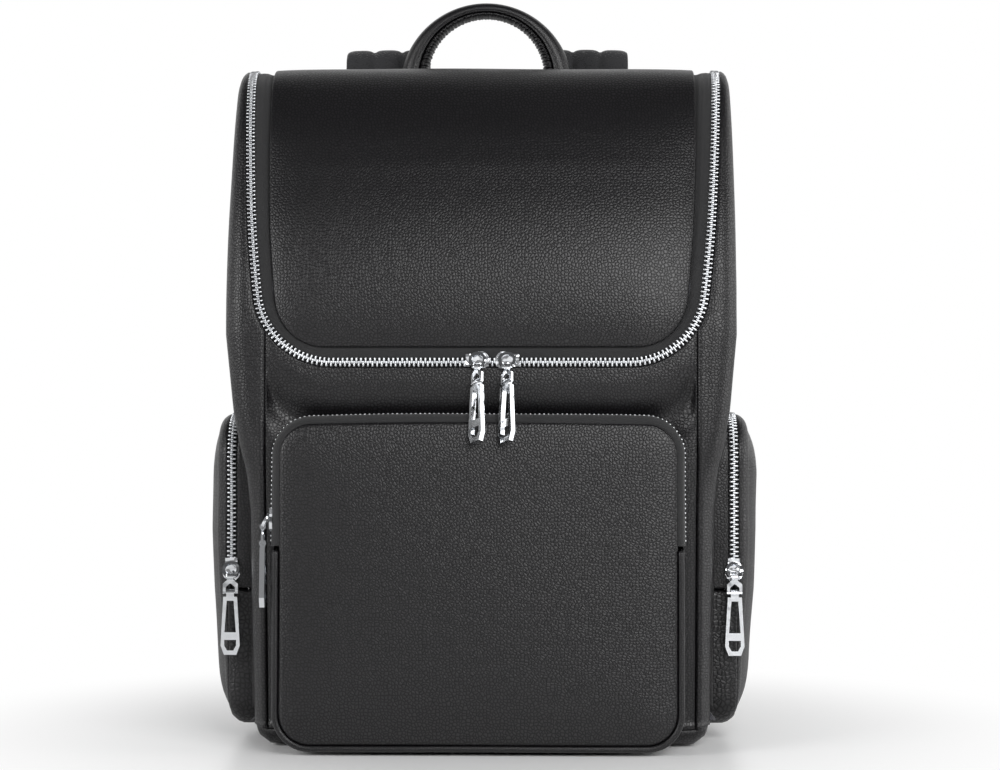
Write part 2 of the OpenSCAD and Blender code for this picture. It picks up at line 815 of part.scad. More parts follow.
// outline of the hanging strap seen from behind: an easy curve outward and a taper
strap_stops = [0:0.1:1];
function strap_mid(k) = strap_x + splay * (1 - cos(90 * k));
function strap_half(k) = strap_w / 2 - (strap_w / 2 - low_half) * k;
strap_high = strap_hinge[1] - 3;
function strap_z(k) = strap_high - (strap_high - strap_low) * k;
module strap_pad(side) {
    color(web_black) mirrored(side) difference() {
        intersection() {
            front_to_back(reach) polygon(concat(
                [for (k = strap_stops) [strap_mid(k) + strap_half(k), strap_z(k)]],
                [for (k = strap_stops) [strap_mid(1 - k) - strap_half(1 - k), strap_z(1 - k)]]));
            across(reach) polygon([[strap_hinge[0] - 6, strap_high], [strap_hinge[0] + 6, strap_high],
                                   [strap_hinge[0] + 7, 330], [strap_hinge[0] - 2, strap_low],
                                   [strap_hinge[0] - 11, strap_low], [strap_hinge[0] - 6, 330]]);
        }
        translate([0, strap_hinge[0], strap_hinge[1]]) bar(reach / 2, strap_t / 2 + gap);
    }
}
web_half = 16;
lock = [42, 4, 22];
lock_y = strap_hinge[0] - 6.5;
web_x = strap_mid(1);
module strap_adjuster(side) {
    color(tape_black) mirrored(side) translate([web_x, lock_y, strap_low - lock[2] / 2]) difference() {
        cube(lock, center = true);
        for (z = [-5.5, 0, 5.5]) translate([0, 0, z]) cube([2 * web_half + 2, reach, 3], center = true);
    }
}
web_t = 1.6;
module strap_webbing(side) {
    foot = [back_y + 2, 30];
    knee = [lock_y - 6, 110];
    end = [lock_y - lock[1] / 2 - web_t - gap, strap_low - lock[2] - gap];
    color(web_black) mirrored(side) translate([web_x, 0, 0]) {
        across(2 * web_half) polygon([foot, knee, end, end + [web_t, 0], knee + [web_t, 0], foot + [web_t, 0]]);
        block([-web_half - 4, back_y, 20], [web_half + 4, back_y + 3, 42]);
    }
}

front_panel();
side_panel(-1);  // side_panel_left
side_panel(1);  // side_panel_right
back_panel();
base_panel();
base_board();
top_yoke();
laptop_divider();
back_pads();
flap_leather();
flap_lining();
main_tape_flap();
main_tape_body();
main_teeth_flap();
main_teeth_body();
main_slider(0);  // main_left_slider
main_link(0);  // main_left_link
main_puller(0);  // main_left_puller
main_slider(1);  // main_right_slider
main_link(1);  // main_right_link
main_puller(1);  // main_right_puller
pocket_gusset();
pocket_face_lower();
pocket_face_lid();
pocket_tape_lid();
pocket_tape_gusset();
pocket_teeth_lid();
pocket_teeth_gusset();
pocket_piping();
pocket_slider();
pocket_link();
pocket_puller();
for (side = ["left", "right"]) {
    side_shell(side);
    side_lid(side);
    side_piping(side);
    side_teeth_body(side);
    side_teeth_lid(side);
    side_slider(side);
    side_link(side);
    side_puller(side);
    strap_root(side);
    strap_pad(side);
    strap_adjuster(side);
    strap_webbing(side);
}
carry_handle();
handle_tabs();
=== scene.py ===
"""A black pebbled-leather backpack with a U-shaped zipped flap, a front pocket, two side pockets,
a carry handle and two shoulder straps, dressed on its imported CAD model."""
import math

import bmesh
import bpy
import numpy as np
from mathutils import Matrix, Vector


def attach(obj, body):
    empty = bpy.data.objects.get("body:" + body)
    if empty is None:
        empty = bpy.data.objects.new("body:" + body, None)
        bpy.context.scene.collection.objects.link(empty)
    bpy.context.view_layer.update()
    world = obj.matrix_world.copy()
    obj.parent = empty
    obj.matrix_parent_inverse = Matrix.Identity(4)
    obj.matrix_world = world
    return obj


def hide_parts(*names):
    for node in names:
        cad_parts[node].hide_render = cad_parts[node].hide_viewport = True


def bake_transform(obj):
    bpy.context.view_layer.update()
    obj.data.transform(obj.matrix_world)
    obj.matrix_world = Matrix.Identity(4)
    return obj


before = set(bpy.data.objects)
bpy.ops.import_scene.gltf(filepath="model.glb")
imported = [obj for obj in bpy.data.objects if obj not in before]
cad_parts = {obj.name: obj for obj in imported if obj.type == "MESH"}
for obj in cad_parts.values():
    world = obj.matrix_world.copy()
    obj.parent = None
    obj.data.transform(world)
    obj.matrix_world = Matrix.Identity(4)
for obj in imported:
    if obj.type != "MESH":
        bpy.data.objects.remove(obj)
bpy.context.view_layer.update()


# ---- The shape that the leather is cut to ----
# A pattern cutter works from the side outline: up the front, over the crown, down the back and
# under the base. Sizes are millimetres; v runs along that line and u outward from the middle.

def traced(start, heading, stretches):
    """Rows v, a, b and heading of a line made of stretches, each a length and a turn to the right."""
    place = np.array(start, float)
    run = 0.0
    rows = [(run, *place, heading)]
    for length, turn in stretches:
        count = max(1, round(length / 0.5))
        for _ in range(count):
            h = math.radians(heading - turn / count / 2)
            place = place + length / count * np.array([math.cos(h), math.sin(h)])
            heading -= turn / count
            run += length / count
            rows.append((run, *place, heading))
    return np.array(rows).T


def spread(x, y, z):
    """Points from x, y and z, each given along one axis of a grid or over all of it."""
    return np.stack(np.broadcast_arrays(x, y, z), -1)


def rounded_skin(line, half_width, corner, middle, bulge, ripple):
    """The skin of a box with rounded sides: a function of v, u and the depth under the surface.
    middle is the side's centre line, as a place across and the heights it spans."""
    length = line[0][-1]

    def outline(v):
        """The place on the line at v, and the direction inward from it."""
        a, b, h = (np.interp(np.asarray(v, float) % length, line[0], row) for row in line[1:])
        return a, b, np.sin(np.radians(h)), -np.cos(np.radians(h))

    def widths(v):
        """Where the flat ends, where the rounded corner ends, and the middle of the side."""
        a, b, na, nb = outline(v)
        r = corner(v)
        flat = half_width(b) - r
        side = flat + r * np.pi / 2
        qa, qb = a + r * na, b + r * nb
        return flat, side, side + np.hypot(middle[0] - qa, np.clip(qb, *middle[1]) - qb)

    def skin(v, u, depth=0.0):
        v, u, depth = np.broadcast_arrays(*(np.asarray(t, float) for t in (v, u, depth)))
        a, b, na, nb = outline(v)
        r = corner(v)
        flat, side, full = widths(v)
        out = np.abs(u)
        turn = np.clip((out - flat) / r, 0, np.pi / 2)
        beyond = np.clip(out - side, 0, full - side)
        qa, qb = a + r * na, b + r * nb
        share = beyond / np.maximum(full - side, 1e-6)

        def at(d):
            """The points at depth d."""
            push = r - (r - d) * np.cos(turn)
            pa = np.where(beyond > 0, qa + (middle[0] - qa) * share, a + push * na)
            pb = np.where(beyond > 0, qb + (np.clip(qb, *middle[1]) - qb) * share, b + push * nb)
            swell = bulge * (1 - (1 - share) ** 2.5)
            x = np.where(out < flat, out, half_width(pb) - r + (r - d) * np.sin(turn) + swell)
            return np.stack([np.sign(u) * x, pa, pb], -1)

        return at(depth - ripple(at(0.0), beyond))

    skin.widths = widths
    return skin


over_the_top = [(150, 0), (60, 4), (25, 0), (103, 25), (36.4, 0), (47.3, 14), (43.2, 51), (51.5, 6), (22, 84)]
crown_line = traced((-79, 15), 94, over_the_top)
down_the_back = crown_line[2][-1] - 20
side_line = traced((-79, 15), 94, over_the_top + [(down_the_back, 0), (31.4, 90), (117.9, 0), (24.2, 86)])
round_v = side_line[0][-1]
hinge_y = 42
# looked up behind the crown's front, where y grows along the line
hinge_v = np.interp(hinge_y, crown_line[1][700:], crown_line[0][700:])
back_v = crown_line[0][-1]
base_v = back_v + down_the_back


def soft_waves(p, beyond):
    """Leather over foam is never quite flat: slow waves, deeper on the loose sides."""
    x, y, z = p[..., 0], p[..., 1], p[..., 2]
    slow = np.sin(x / 37 + z / 61 + 1) + np.sin(z / 43 - x / 53 + 2.2) + 0.6 * np.sin(x / 19 + z / 29)
    loose = np.sin(z / 34 + y / 21 + np.sign(x)) + 0.7 * np.sin(z / 17 - y / 25 + x / 90)
    return 0.22 * slow + 0.8 * loose * np.clip(beyond / 25, 0, 1)


def bag_half(z):
    """Half the width of the bag at height z: straight beside the pocket, wider up to the crown."""
    return np.interp(z, [0, 14, 150, 175, 190, 215, 262, 441],
                     [144, 144.5, 145.5, 148, 152, 156.5, 161, 160.5])


def bag_corner(v):
    """Radius of the corner between the front or back and the side, at v."""
    v = np.asarray(v, float) % round_v
    return np.interp(v, [0, 300, 430, back_v - 10, back_v + 40, base_v - 20, base_v, round_v],
                     [13, 13, 7, 7, 22, 22, 13, 13])


sides = (("left", -1), ("right", 1))
bag = rounded_skin(side_line, bag_half, bag_corner, (0, (70, 370)), 1.6, soft_waves)


# ---- Pebbled leather ----
# Full-grain cowhide, shrunk so that it puckers into pebbles about 2 mm across, drum-dyed black
# and given a thin satin finish. Cut edges are turned under and sewn.

def linear(text):
    """An sRGB hex colour as linear red, green, blue and alpha."""
    parts = [int(text[k:k + 2], 16) / 255 for k in (1, 3, 5)]
    return [p / 12.92 if p <= 0.04045 else ((p + 0.055) / 1.055) ** 2.4 for p in parts] + [1.0]


def add(tree, kind, inputs=None, **settings):
    """Adds one shader node. An input is a value, a socket, or a node, which means its first output."""
    made = tree.nodes.new("ShaderNode" + kind)
    for name, value in settings.items():
        setattr(made, name, value)
    for name, value in (inputs or {}).items():
        if isinstance(value, bpy.types.Node):
            value = value.outputs[0]
        if isinstance(value, bpy.types.NodeSocket):
            tree.links.new(value, made.inputs[name])
        else:
            made.inputs[name].default_value = value
    return made


def finish_of(name):
    """An empty material and its node tree."""
    made = bpy.data.materials.new(name)
    made.use_nodes = True
    made.node_tree.nodes.clear()
    return made, made.node_tree


def surface(tree, **inputs):
    """Ends a material in one Principled shader; underscores in the input names are spaces."""
    shader = add(tree, "BsdfPrincipled", {k.replace("_", " "): v for k, v in inputs.items()})
    add(tree, "OutputMaterial", {"Surface": shader})


def worked(tree, operation, *values):
    """The result of one operation on numbers."""
    return add(tree, "Math", dict(enumerate(values)), operation=operation)


def noise(tree, place, scale, detail):
    """Random values that drift like clouds, scale of them to a metre."""
    return add(tree, "TexNoise", {"Vector": place, "Scale": scale, "Detail": detail})


def ranged(tree, value, given=(0, 1), wanted=(0, 1), smooth=False):
    """A number taken from the range it is given in to the one wanted."""
    return add(tree, "MapRange", {"Value": value, "From Min": given[0], "From Max": given[1],
                                  "To Min": wanted[0], "To Max": wanted[1]},
               interpolation_type="SMOOTHSTEP" if smooth else "LINEAR")


def between(tree, share, dark, light):
    """A colour that goes from dark to light."""
    made = add(tree, "Mix", {0: share, 6: linear(dark), 7: linear(light)}, data_type="RGBA")
    return made.outputs[2]


def laid_flat(tree):
    """The place on the hide, in metres, as seen square to whichever side of the bag it is on."""
    told = add(tree, "TexCoord")
    place = add(tree, "SeparateXYZ", {0: told.outputs["Object"]})
    facing = add(tree, "VectorMath", {0: told.outputs["Normal"]}, operation="ABSOLUTE")
    faces = add(tree, "SeparateXYZ", {0: facing})
    side = worked(tree, "GREATER_THAN", faces, faces.outputs[1])
    most = worked(tree, "MAXIMUM", faces, faces.outputs[1])
    top = worked(tree, "GREATER_THAN", faces.outputs[2], most)
    level = add(tree, "Mix", {0: side, 2: place, 3: place.outputs[1]})
    across = add(tree, "Mix", {0: top, 2: level, 3: place})
    up = add(tree, "Mix", {0: top, 2: place.outputs[2], 3: place.outputs[1]})
    return add(tree, "CombineXYZ", {0: across, 1: up})


def leather(name, pebble, height, furrow_shade, top, dull, shine):
    """pebble is the width of a pebble and height its rise, in millimetres."""
    made, tree = finish_of(name)
    place = laid_flat(tree)
    wander = noise(tree, place, 140.0, 1.0)
    centred = add(tree, "VectorMath", {0: wander.outputs["Color"], 1: (0.5, 0.5, 0.5)}, operation="SUBTRACT")
    shifted = add(tree, "VectorMath", {0: centred, 1: (0.002,) * 3, 2: place}, operation="MULTIPLY_ADD")
    cells = add(tree, "TexVoronoi", {"Vector": shifted, "Scale": 1000 / pebble, "Randomness": 0.9},
                feature="DISTANCE_TO_EDGE", voronoi_dimensions="2D")
    drop = ranged(tree, cells, (0.6, 0.0))
    round_off = worked(tree, "POWER", drop, 2.0)
    dome = worked(tree, "SUBTRACT", 1.0, round_off)
    fine = noise(tree, place, 1100.0, 3.0)
    rise = worked(tree, "MULTIPLY_ADD", fine, 0.1, dome)
    bump = add(tree, "Bump", {"Height": rise, "Strength": 1.0, "Distance": height / 1000})
    # the base colour is painted darker in the furrows, as painted shade, and lighter on the pebble tops, as
    # painted highlight, over a slow random cloud of tone
    cloud = noise(tree, place, 14.0, 3.0)
    tone_and_furrow_shade = worked(tree, "MULTIPLY_ADD", cloud, 0.3, dome)
    tone = ranged(tree, tone_and_furrow_shade, (0.1, 1.15))
    gloss = ranged(tree, dome, wanted=(dull, shine))
    # the reflection is painted weaker in the furrows, as painted shade
    shade = ranged(tree, dome, wanted=(0.3, 0.6))
    surface(tree, Base_Color=between(tree, tone, furrow_shade, top), Roughness=gloss, Normal=bump,
            Specular_IOR_Level=shade)
    return made


# the pebbles catch the light one by one; the furrows between them are painted darker, as painted shade, and
# the pebble tops lighter, as painted highlight
pebbled_leather = leather("pebbled cowhide, satin finish", 2.1, 0.14, "#050506", "#121013", 0.42, 0.36)
# the coarser, softer part of the hide, used low on the side pockets, with the same painted shade in its
# furrows and painted highlight on its pebble tops
coarse_leather = leather("coarse pebbled cowhide", 2.9, 0.24, "#050506", "#121013", 0.42, 0.36)
# pulled round an edge the pebbles flatten, so it is smoother and a little shinier; its furrows too are
# painted darker as painted shade, and its pebble tops lighter as painted highlight
edge_leather = leather("turned leather edge", 1.6, 0.07, "#050506", "#121013", 0.42, 0.36)


# ---- Lining ----
# Woven polyester, plain weave, dark grey, glued to the foam and sewn in with the zips.

def woven(name, thread, dark, light, rough, sheen):
    """A plain weave with the given thread spacing in millimetres, crossed in the piece's own place."""
    made, tree = finish_of(name)
    place = add(tree, "TexCoord").outputs["Object"]
    scaled = add(tree, "VectorMath", {0: place, 1: (1000 / thread,) * 3}, operation="MULTIPLY")
    axes = add(tree, "SeparateXYZ", {0: scaled})
    across = worked(tree, "ADD", axes, axes.outputs[1])
    over = worked(tree, "MULTIPLY", across, math.pi)
    under = worked(tree, "MULTIPLY", axes.outputs[2], math.pi)
    warp = worked(tree, "SINE", over)
    weft = worked(tree, "SINE", under)
    cross = worked(tree, "MULTIPLY", warp, weft)
    rise = ranged(tree, cross, (-1.0, 1))
    bump = add(tree, "Bump", {"Height": rise, "Strength": 0.6, "Distance": thread / 4000})
    fibre = noise(tree, place, 900.0, 3.0)
    tone = worked(tree, "MULTIPLY_ADD", fibre, 0.5, rise)
    surface(tree, Base_Color=between(tree, tone, dark, light), Roughness=rough, Normal=bump,
            Sheen_Weight=sheen, Sheen_Roughness=0.5)
    return made


# matte, with a fine crossing of threads that breaks up any highlight
lining_fabric = woven("woven polyester lining", 0.9, "#26262a", "#3c3c41", 0.85, 0.2)


def refinished(node, stuff):
    """Gives a solid that is shown as it is its material, and returns it."""
    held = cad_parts[node]
    held.data.materials.clear()
    held.data.materials.append(stuff)
    return held


for node in ("flap_lining", "base_board", "laptop_divider"):
    refinished(node, lining_fabric)


# ---- Body panels ----
# The leather is cut into a front, two sides, a back, a yoke over the crown and a base tray, each
# bonded to 3 mm foam and lining, with the edges turned under before they are sewn together.

panel_wall = 4           # leather, foam and lining together
edge_roll = 1.2          # radius of a turned edge
inside_depth = 4.9       # where the strips that cover the seams inside lie, under the leather's face


def turned(s, r=edge_roll):
    """Depth of a turned edge of radius r at distance s from it."""
    return r - np.sqrt(np.maximum(r * r - (r - np.minimum(s, r)) ** 2, 0))


def dense(length, near=(0, 0.2, 0.5, 1.0, 1.6, 2.4, 3.6, 5.5, 8), step=7.0):
    """Places from 0 to length that crowd towards both ends."""
    near = np.array([s for s in near if s < 0.45 * length])
    inside = length - 2 * near[-1]
    middle = np.linspace(near[-1], length - near[-1], max(2, round(inside / step) + 1))[1:-1]
    return np.concatenate([near, middle, length - near[::-1]])


def sewn(name, grids, body, stuff, thick=0.0, inside=None, centre=(0, 0, 230), closed=False,
         looped=False, slot="pebbled_leather", stands_for=()):
    """Joins grids of points in millimetres into one smooth piece that rides on a body.
    A closed grid has rings for rows and a cap at each end. Any other faces away from centre, can be
    looped from its last row to its first, and with a thickness gets an inner face, in inside."""
    points, faces, base = [], [], 0
    for grid in grids:
        rows, cols = grid.shape[:2]
        number = np.arange(rows * cols).reshape(rows, cols) + base
        if looped:
            number = np.vstack([number, number[:1]])
        if closed:
            number = np.hstack([number, number[:, :1]])
        quads = np.stack([number[:-1, :-1], number[:-1, 1:], number[1:, 1:], number[1:, :-1]], -1)
        faces += quads.reshape(-1, 4).tolist()
        if closed:
            faces += [number[0, :cols].tolist()[::-1], number[-1, :cols].tolist()]
        points.append(grid.reshape(-1, 3))
        base += rows * cols
    points = np.concatenate(points)
    mesh = bpy.data.meshes.new(name)
    mesh.from_pydata((points / 1000).tolist(), [], faces)
    work = bmesh.new()
    work.from_mesh(mesh)
    bmesh.ops.remove_doubles(work, verts=work.verts, dist=2e-5)
    bmesh.ops.recalc_face_normals(work, faces=work.faces)
    if not closed:
        facing = sum(f.normal.dot(f.calc_center_median() - Vector(centre) / 1000) * f.calc_area()
                     for f in work.faces)
        if facing < 0:
            bmesh.ops.reverse_faces(work, faces=work.faces)
    work.to_mesh(mesh)
    work.free()
    mesh.polygons.foreach_set("use_smooth", [True] * len(mesh.polygons))
    piece = bpy.data.objects.new(name, mesh)
    bpy.context.scene.collection.objects.link(piece)
    mesh.materials.append(stuff)
    if thick:
        wall = piece.modifiers.new("thickness", "SOLIDIFY")
        wall.thickness = thick / 1000
        wall.offset = -1
        if inside:
            mesh.materials.append(inside)
            wall.material_offset = 1
    if body:
        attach(piece, body)
    if stands_for:
        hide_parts(*stands_for)
    return piece


# the line of the main zip on the flat skin, from its middle out and up: [run, u, v, heading]
zip_v = 229.8
zip_track = traced((0, zip_v), 0, [(93.4, 0), (69.4, -83), (25, -1), (40, -2), (60, -1), (60, -1.5),
                                   (150, -1.5)])
zip_run = np.interp(hinge_v - 1, zip_track[2], zip_track[0])
zip_edge = 3.1           # from the middle of the teeth to the leather outside them
seam_x = 136             # the upright seams beside the front pocket
back_seam_v = back_v + 2
front_seam_v = -3.1
back_foot_v = base_v + 9

bent = np.radians(zip_track[3])
beside_u = zip_track[1] + zip_edge * np.sin(bent)
beside_v = zip_track[2] - zip_edge * np.cos(bent)


def side_edge(v):
    """How far out the front edge of a side panel lies: the seam, the zip, then the yoke and back."""
    v = np.asarray(v, float)
    upper = np.interp(v, [hinge_v, hinge_v + 8, back_v - 24, back_v - 4], [beside_u[-1], 152, 149, 132])
    return np.where(v > hinge_v, upper, np.maximum(np.interp(v, beside_v, beside_u), seam_x))


turn_v = np.interp(seam_x, beside_u, beside_v)
front_rows = np.concatenate([front_seam_v + dense(turn_v - front_seam_v, step=6)[:-1],
                             turn_v + np.array([0, 0.6, 1.4, 2.6, 4.2, 6.4, 9, 12, 16, 20.5, 26, 32]),
                             np.linspace(turn_v + 37, hinge_v, 46)])
back_rows = np.concatenate([hinge_v + np.array([0.5, 3, 6]), np.linspace(hinge_v + 12, back_v, 16),
                            np.linspace(back_v + 6, back_foot_v - 12, 60),
                            back_foot_v - np.array([8, 4, 1.6, 0.6, 0])])
strip_rows = np.concatenate([front_rows, back_rows])
base_rows = np.linspace(back_foot_v, round_v + front_seam_v, 50)[1:-1]


def body_panel(name, grids, node):
    """A lined panel of the bag, in place of its solid."""
    sewn(name, grids, "bag", pebbled_leather, panel_wall, lining_fabric, stands_for=[node])


def fold(s):
    """A turned edge that stands up as a soft fold beside its seam."""
    return turned(s) - 0.9 * np.exp(-((s - 2.6) / 2.2) ** 2)


for side, sign in sides:
    edge = side_edge(strip_rows)[:, None]
    reach = bag.widths(strip_rows)[1][:, None]
    share = np.array([0, 0.006, 0.016, 0.03, 0.05, 0.08, 0.12, 0.18, 0.25, 0.33, 0.42, 0.51, 0.6, 0.7,
                      0.8, 0.9, 1])
    out = edge + (reach - edge) * share
    rise = np.where(strip_rows < turn_v, 1.0, np.exp(-(strip_rows - turn_v) / 8))[:, None]
    depth = turned(out - edge) + rise * (fold(out - edge) - turned(out - edge))
    depth = depth - 1.2 * (1 - np.exp(-(out - edge) / 6))
    strip = bag(strip_rows[:, None], sign * out, depth)
    ring = np.concatenate([strip_rows, base_rows])
    reach, full = (w[:, None] for w in bag.widths(ring)[1:])
    cap_share = np.array([0, 0.04, 0.09, 0.15, 0.22, 0.3, 0.4, 0.5, 0.6, 0.7, 0.8, 0.9, 0.97, 0.998, 1])
    cap = bag(ring[:, None], sign * (reach + (full - reach) * cap_share), -1.2)
    cap = np.concatenate([cap, cap[:1]])
    body_panel(f"side_leather_{side}", [strip, cap], f"side_panel_{side}")

columns = dense(2 * seam_x - 0.6) - seam_x + 0.3
top_edge = np.interp(np.abs(columns), beside_u, beside_v)
along = dense(1, (0, 0.0009, 0.0022, 0.004, 0.007, 0.011, 0.017, 0.026, 0.04), 0.03)[:, None]
rows = front_seam_v + (top_edge - front_seam_v) * along
sunk = 0.9 * np.exp(-(seam_x - np.abs(columns)) / 3)
# under the zip the leather stands up in a roll, and below that it dips behind the pocket
below = top_edge - rows
bolster = 0.8 * np.exp(-((below - 10) / 9) ** 2) - 10 * np.exp(-((below - 38) / 12) ** 2)
depth = np.maximum(turned(below), sunk) - bolster * np.clip(1 - 1.4 * sunk, 0, 1)
body_panel("front_leather", [bag(rows, columns, depth)], "front_panel")


def full_width(name, rows, half, from_end, node):
    """A panel that reaches from seam to seam, turned at its sides and where from_end is small."""
    across = half[:, None] * (dense(2, (0, 0.002, 0.005, 0.01, 0.018, 0.03, 0.05), 0.06) - 1)
    depth = np.maximum(turned(half[:, None] - np.abs(across)), turned(from_end[:, None]))
    body_panel(name, [bag(rows[:, None], across, depth)], node)


rows = np.concatenate([hinge_v + 0.6 + np.array([0, 0.3, 0.8, 1.6]),
                       np.linspace(hinge_v + 4, back_seam_v, 26)])
full_width("yoke_leather", rows, side_edge(rows) - 0.4, rows - rows[0], "top_yoke")
rows = back_seam_v + 0.6 + dense(back_foot_v - back_seam_v - 1.2, step=8)
full_width("back_leather", rows, side_edge(rows) - 0.4, np.minimum(rows - rows[0], rows[-1] - rows),
           "back_panel")
rows = np.linspace(back_foot_v + 0.3, round_v + front_seam_v - 0.3, 60)
full_width("base_leather", rows, bag.widths(rows)[1], np.minimum(rows - rows[0], rows[-1] - rows),
           "base_panel")

# the seams of the back are bound inside with strips of lining, which close them to the light
rows = np.linspace(hinge_v + 2, back_foot_v, 60)[:, None]
for side, sign in sides:
    strip = bag(rows, sign * (side_edge(rows) + np.array([-8, -4, 0, 3, 6])), inside_depth)
    sewn(f"seam_binding_{side}", [strip], "bag", lining_fabric, 0.7, lining_fabric)
rows = back_seam_v + np.array([-6, -2, 2, 7])[:, None]
strip = bag(rows, np.linspace(-128, 128, 40), inside_depth)
sewn("seam_binding_back", [strip], "bag", lining_fabric, 0.7, lining_fabric)


# ---- Flap ----
# One piece of leather over foam, cut to a U with round corners, its edge turned under all round
# and topstitched to the zip tape. It bends where it meets the yoke, behind the crown.

def edge_distance(x, v, half, low, high, r_low, r_high):
    """How far a point lies inside a rounded rectangle."""
    x = np.abs(x)
    inside = np.minimum(np.minimum(half - x, v - low), high - v)
    for r, turn in ((r_low, low + r_low), (r_high, high - r_high)):
        past = (turn - v) if turn < (low + high) / 2 else (v - turn)
        corner = r - np.hypot(np.maximum(x - half + r, 0), np.maximum(past, 0))
        inside = np.where((x > half - r) & (past > 0), corner, inside)
    return inside


def half_at(v, half, low, high, r_low, r_high):
    """Half the width of a rounded rectangle at height v."""
    cut = np.zeros_like(v)
    for r, past in ((r_low, low + r_low - v), (r_high, v - high + r_high)):
        cut = np.maximum(cut, np.where(past > 0, r - np.sqrt(np.maximum(r * r - past ** 2, 0)), 0))
    return half - cut


def cut_panel(shape, place, roll, puff, spread):
    """A grid over a rounded rectangle, with a turned edge and a slight swell. place is of x, v, depth."""
    half, low, high, r_low, r_high = shape
    near = np.array([0, 0.12, 0.35, 0.7, 1.2, 1.9, 2.8, 4, 5.6, 7.6, 10, 13, 16.5, 20.5, 25, 30, 34.5])
    v = np.concatenate([low + near, np.linspace(low + 41, high - 41, max(2, round((high - low) / 6))),
                        high - near[::-1]])[:, None]
    across = dense(2, (0, 0.0016, 0.004, 0.008, 0.014, 0.022, 0.035, 0.055, 0.08), 0.05) - 1
    x = half_at(v, *shape) * across
    s = edge_distance(x, v, *shape)
    swell = 0.65 * (1 - np.exp(-s / spread)) + 0.35 * (1 - np.exp(-s / spread / 4))
    return place(x, v, turned(s, roll) - puff * swell)


def along_edge(shape, inset, step):
    """Places [x, v] and headings every step along a rounded rectangle, inset from its edge."""
    half, low, high, r_low, r_high = shape
    half, low, high = half - inset, low + inset, high - inset
    r_low, r_high = max(r_low - inset, 0.5), max(r_high - inset, 0.5)
    upright = (high - low - r_low - r_high, 0)
    lap = [upright, (r_high * np.pi / 2, 90), (2 * (half - r_high), 0), (r_high * np.pi / 2, 90),
           upright, (r_low * np.pi / 2, 90), (2 * (half - r_low), 0), (r_low * np.pi / 2, 90)]
    run, x, v, h = traced((-half, low + r_low), 90, lap)
    s = np.arange(0, run[-1], step)
    return np.stack([np.interp(s, run, row) for row in (x, v, h)], -1)


def stitched(name, marks, place, body, stuff):
    """Separate stitches of thread, each a small bead lying along its seam and half sunk in it."""
    length, r = 2.6, 0.42
    turn = np.linspace(0, 2 * np.pi, 7)[:-1]
    ends = np.array([[-0.5, 0.15], [-0.4, 0.75], [0, 1], [0.4, 0.75], [0.5, 0.15]])
    t = ends[:, :1] * length + 0 * turn
    a = ends[:, 1:] * r * np.cos(turn)
    out = ends[:, 1:] * r * np.sin(turn)
    h = np.radians(marks[:, 2])[:, None, None]
    x = marks[:, 0][:, None, None] + t * np.cos(h) - a * np.sin(h)
    v = marks[:, 1][:, None, None] + t * np.sin(h) + a * np.cos(h)
    beads = place(x, v, -out - 0.05 + 0 * x)
    return sewn(name, list(beads), body, stuff, closed=True)


# bonded polyester thread, black, a shade brighter than the leather it lies on
thread, tree = finish_of("bonded polyester thread")
place = add(tree, "TexCoord").outputs["Object"]
spun = noise(tree, place, 2400.0, 1.0)
surface(tree, Base_Color=between(tree, spun, "#0a0a0b", "#1a1a1c"), Roughness=0.5, Sheen_Weight=0.25)


flap_half = 139
flap_foot_v = zip_v + 9.4


def on_flap(x, v, depth):
    """A point of the flap, which is a little narrower towards its foot and swells only in front."""
    swell = np.where(depth < 0, np.interp(v, [360, 430], [1, 0.25]), 1)
    dome = 2 * (1 - (x / flap_half) ** 2) * np.interp(v, [zip_v + 9, zip_v + 60, 360, 430], [0, 1, 1, 0])
    return bag(v, x * np.interp(v, [270, 314, 372, 430], [0.94, 0.968, 0.99, 1]), depth * swell - dome)


cut = cut_panel((flap_half, flap_foot_v, hinge_v - 0.4, 34, 2), on_flap, 1.4, 5.0, 13)
flap_skin = sewn("flap_skin", [cut], None, pebbled_leather, 2.2, lining_fabric, stands_for=["flap_leather"])
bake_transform(flap_skin)
# a strip of lining covers the bend inside and closes it to the light
rows = hinge_v + np.array([-8, -4, -1, 2, 5, 9])[:, None]
strip = bag(rows, np.linspace(-150.5, 150.5, 44), 4.6)
hinge_binding = sewn("hinge_binding", [strip], None, lining_fabric, 0.7, lining_fabric)
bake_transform(hinge_binding)
marks = along_edge((flap_half, flap_foot_v, hinge_v + 60, 34, 2), 2.6, 3.6)
marks = marks[marks[:, 1] < hinge_v - 14]
stitched("flap_stitching", marks, lambda x, v, d: on_flap(x, v, d - 0.1), "flap", thread)


# ---- Main zip ----
# A no. 8 metal zip: two herringbone tapes with separate polished teeth clamped on their beaded
# edges, sewn in a U from one end of the hinge, round the front of the flap, to the other.

pitch = 2.9              # from tooth to tooth in a row


def on_main_zip(s, off, depth):
    """A point at distance s along the zip, off towards the flap, at a depth."""
    x, v, angle = (np.interp(np.abs(s), zip_track[0], row) for row in zip_track[1:])
    angle = np.radians(angle)
    side = np.where(np.asarray(s) < 0, -1.0, 1.0)
    return bag(v + off * np.cos(angle), side * (x - off * np.sin(angle)), depth)


def taped(name, along, profile, place, body, stuff, **joined):
    """A strip of woven tape: profile rows are [across, depth]. It keeps its laid-flat place as a UV map."""
    profile = np.array(profile, float)
    s, off = along[:, None], profile[:, 0]
    piece = sewn(name, [place(s, off, profile[:, 1] + 0 * s)], body, stuff, 0.9, slot="webbing", **joined)
    flat = piece.data.uv_layers.new(name="laid_flat")
    run = np.concatenate([[0], np.cumsum(np.hypot(*np.diff(profile, axis=0).T))])
    table = np.stack([s + 0 * off, 0 * s + run], -1).reshape(-1, 2) / 1000
    corner = np.zeros(len(piece.data.loops), int)
    piece.data.loops.foreach_get("vertex_index", corner)
    flat.data.foreach_set("uv", table[corner].ravel())
    return piece


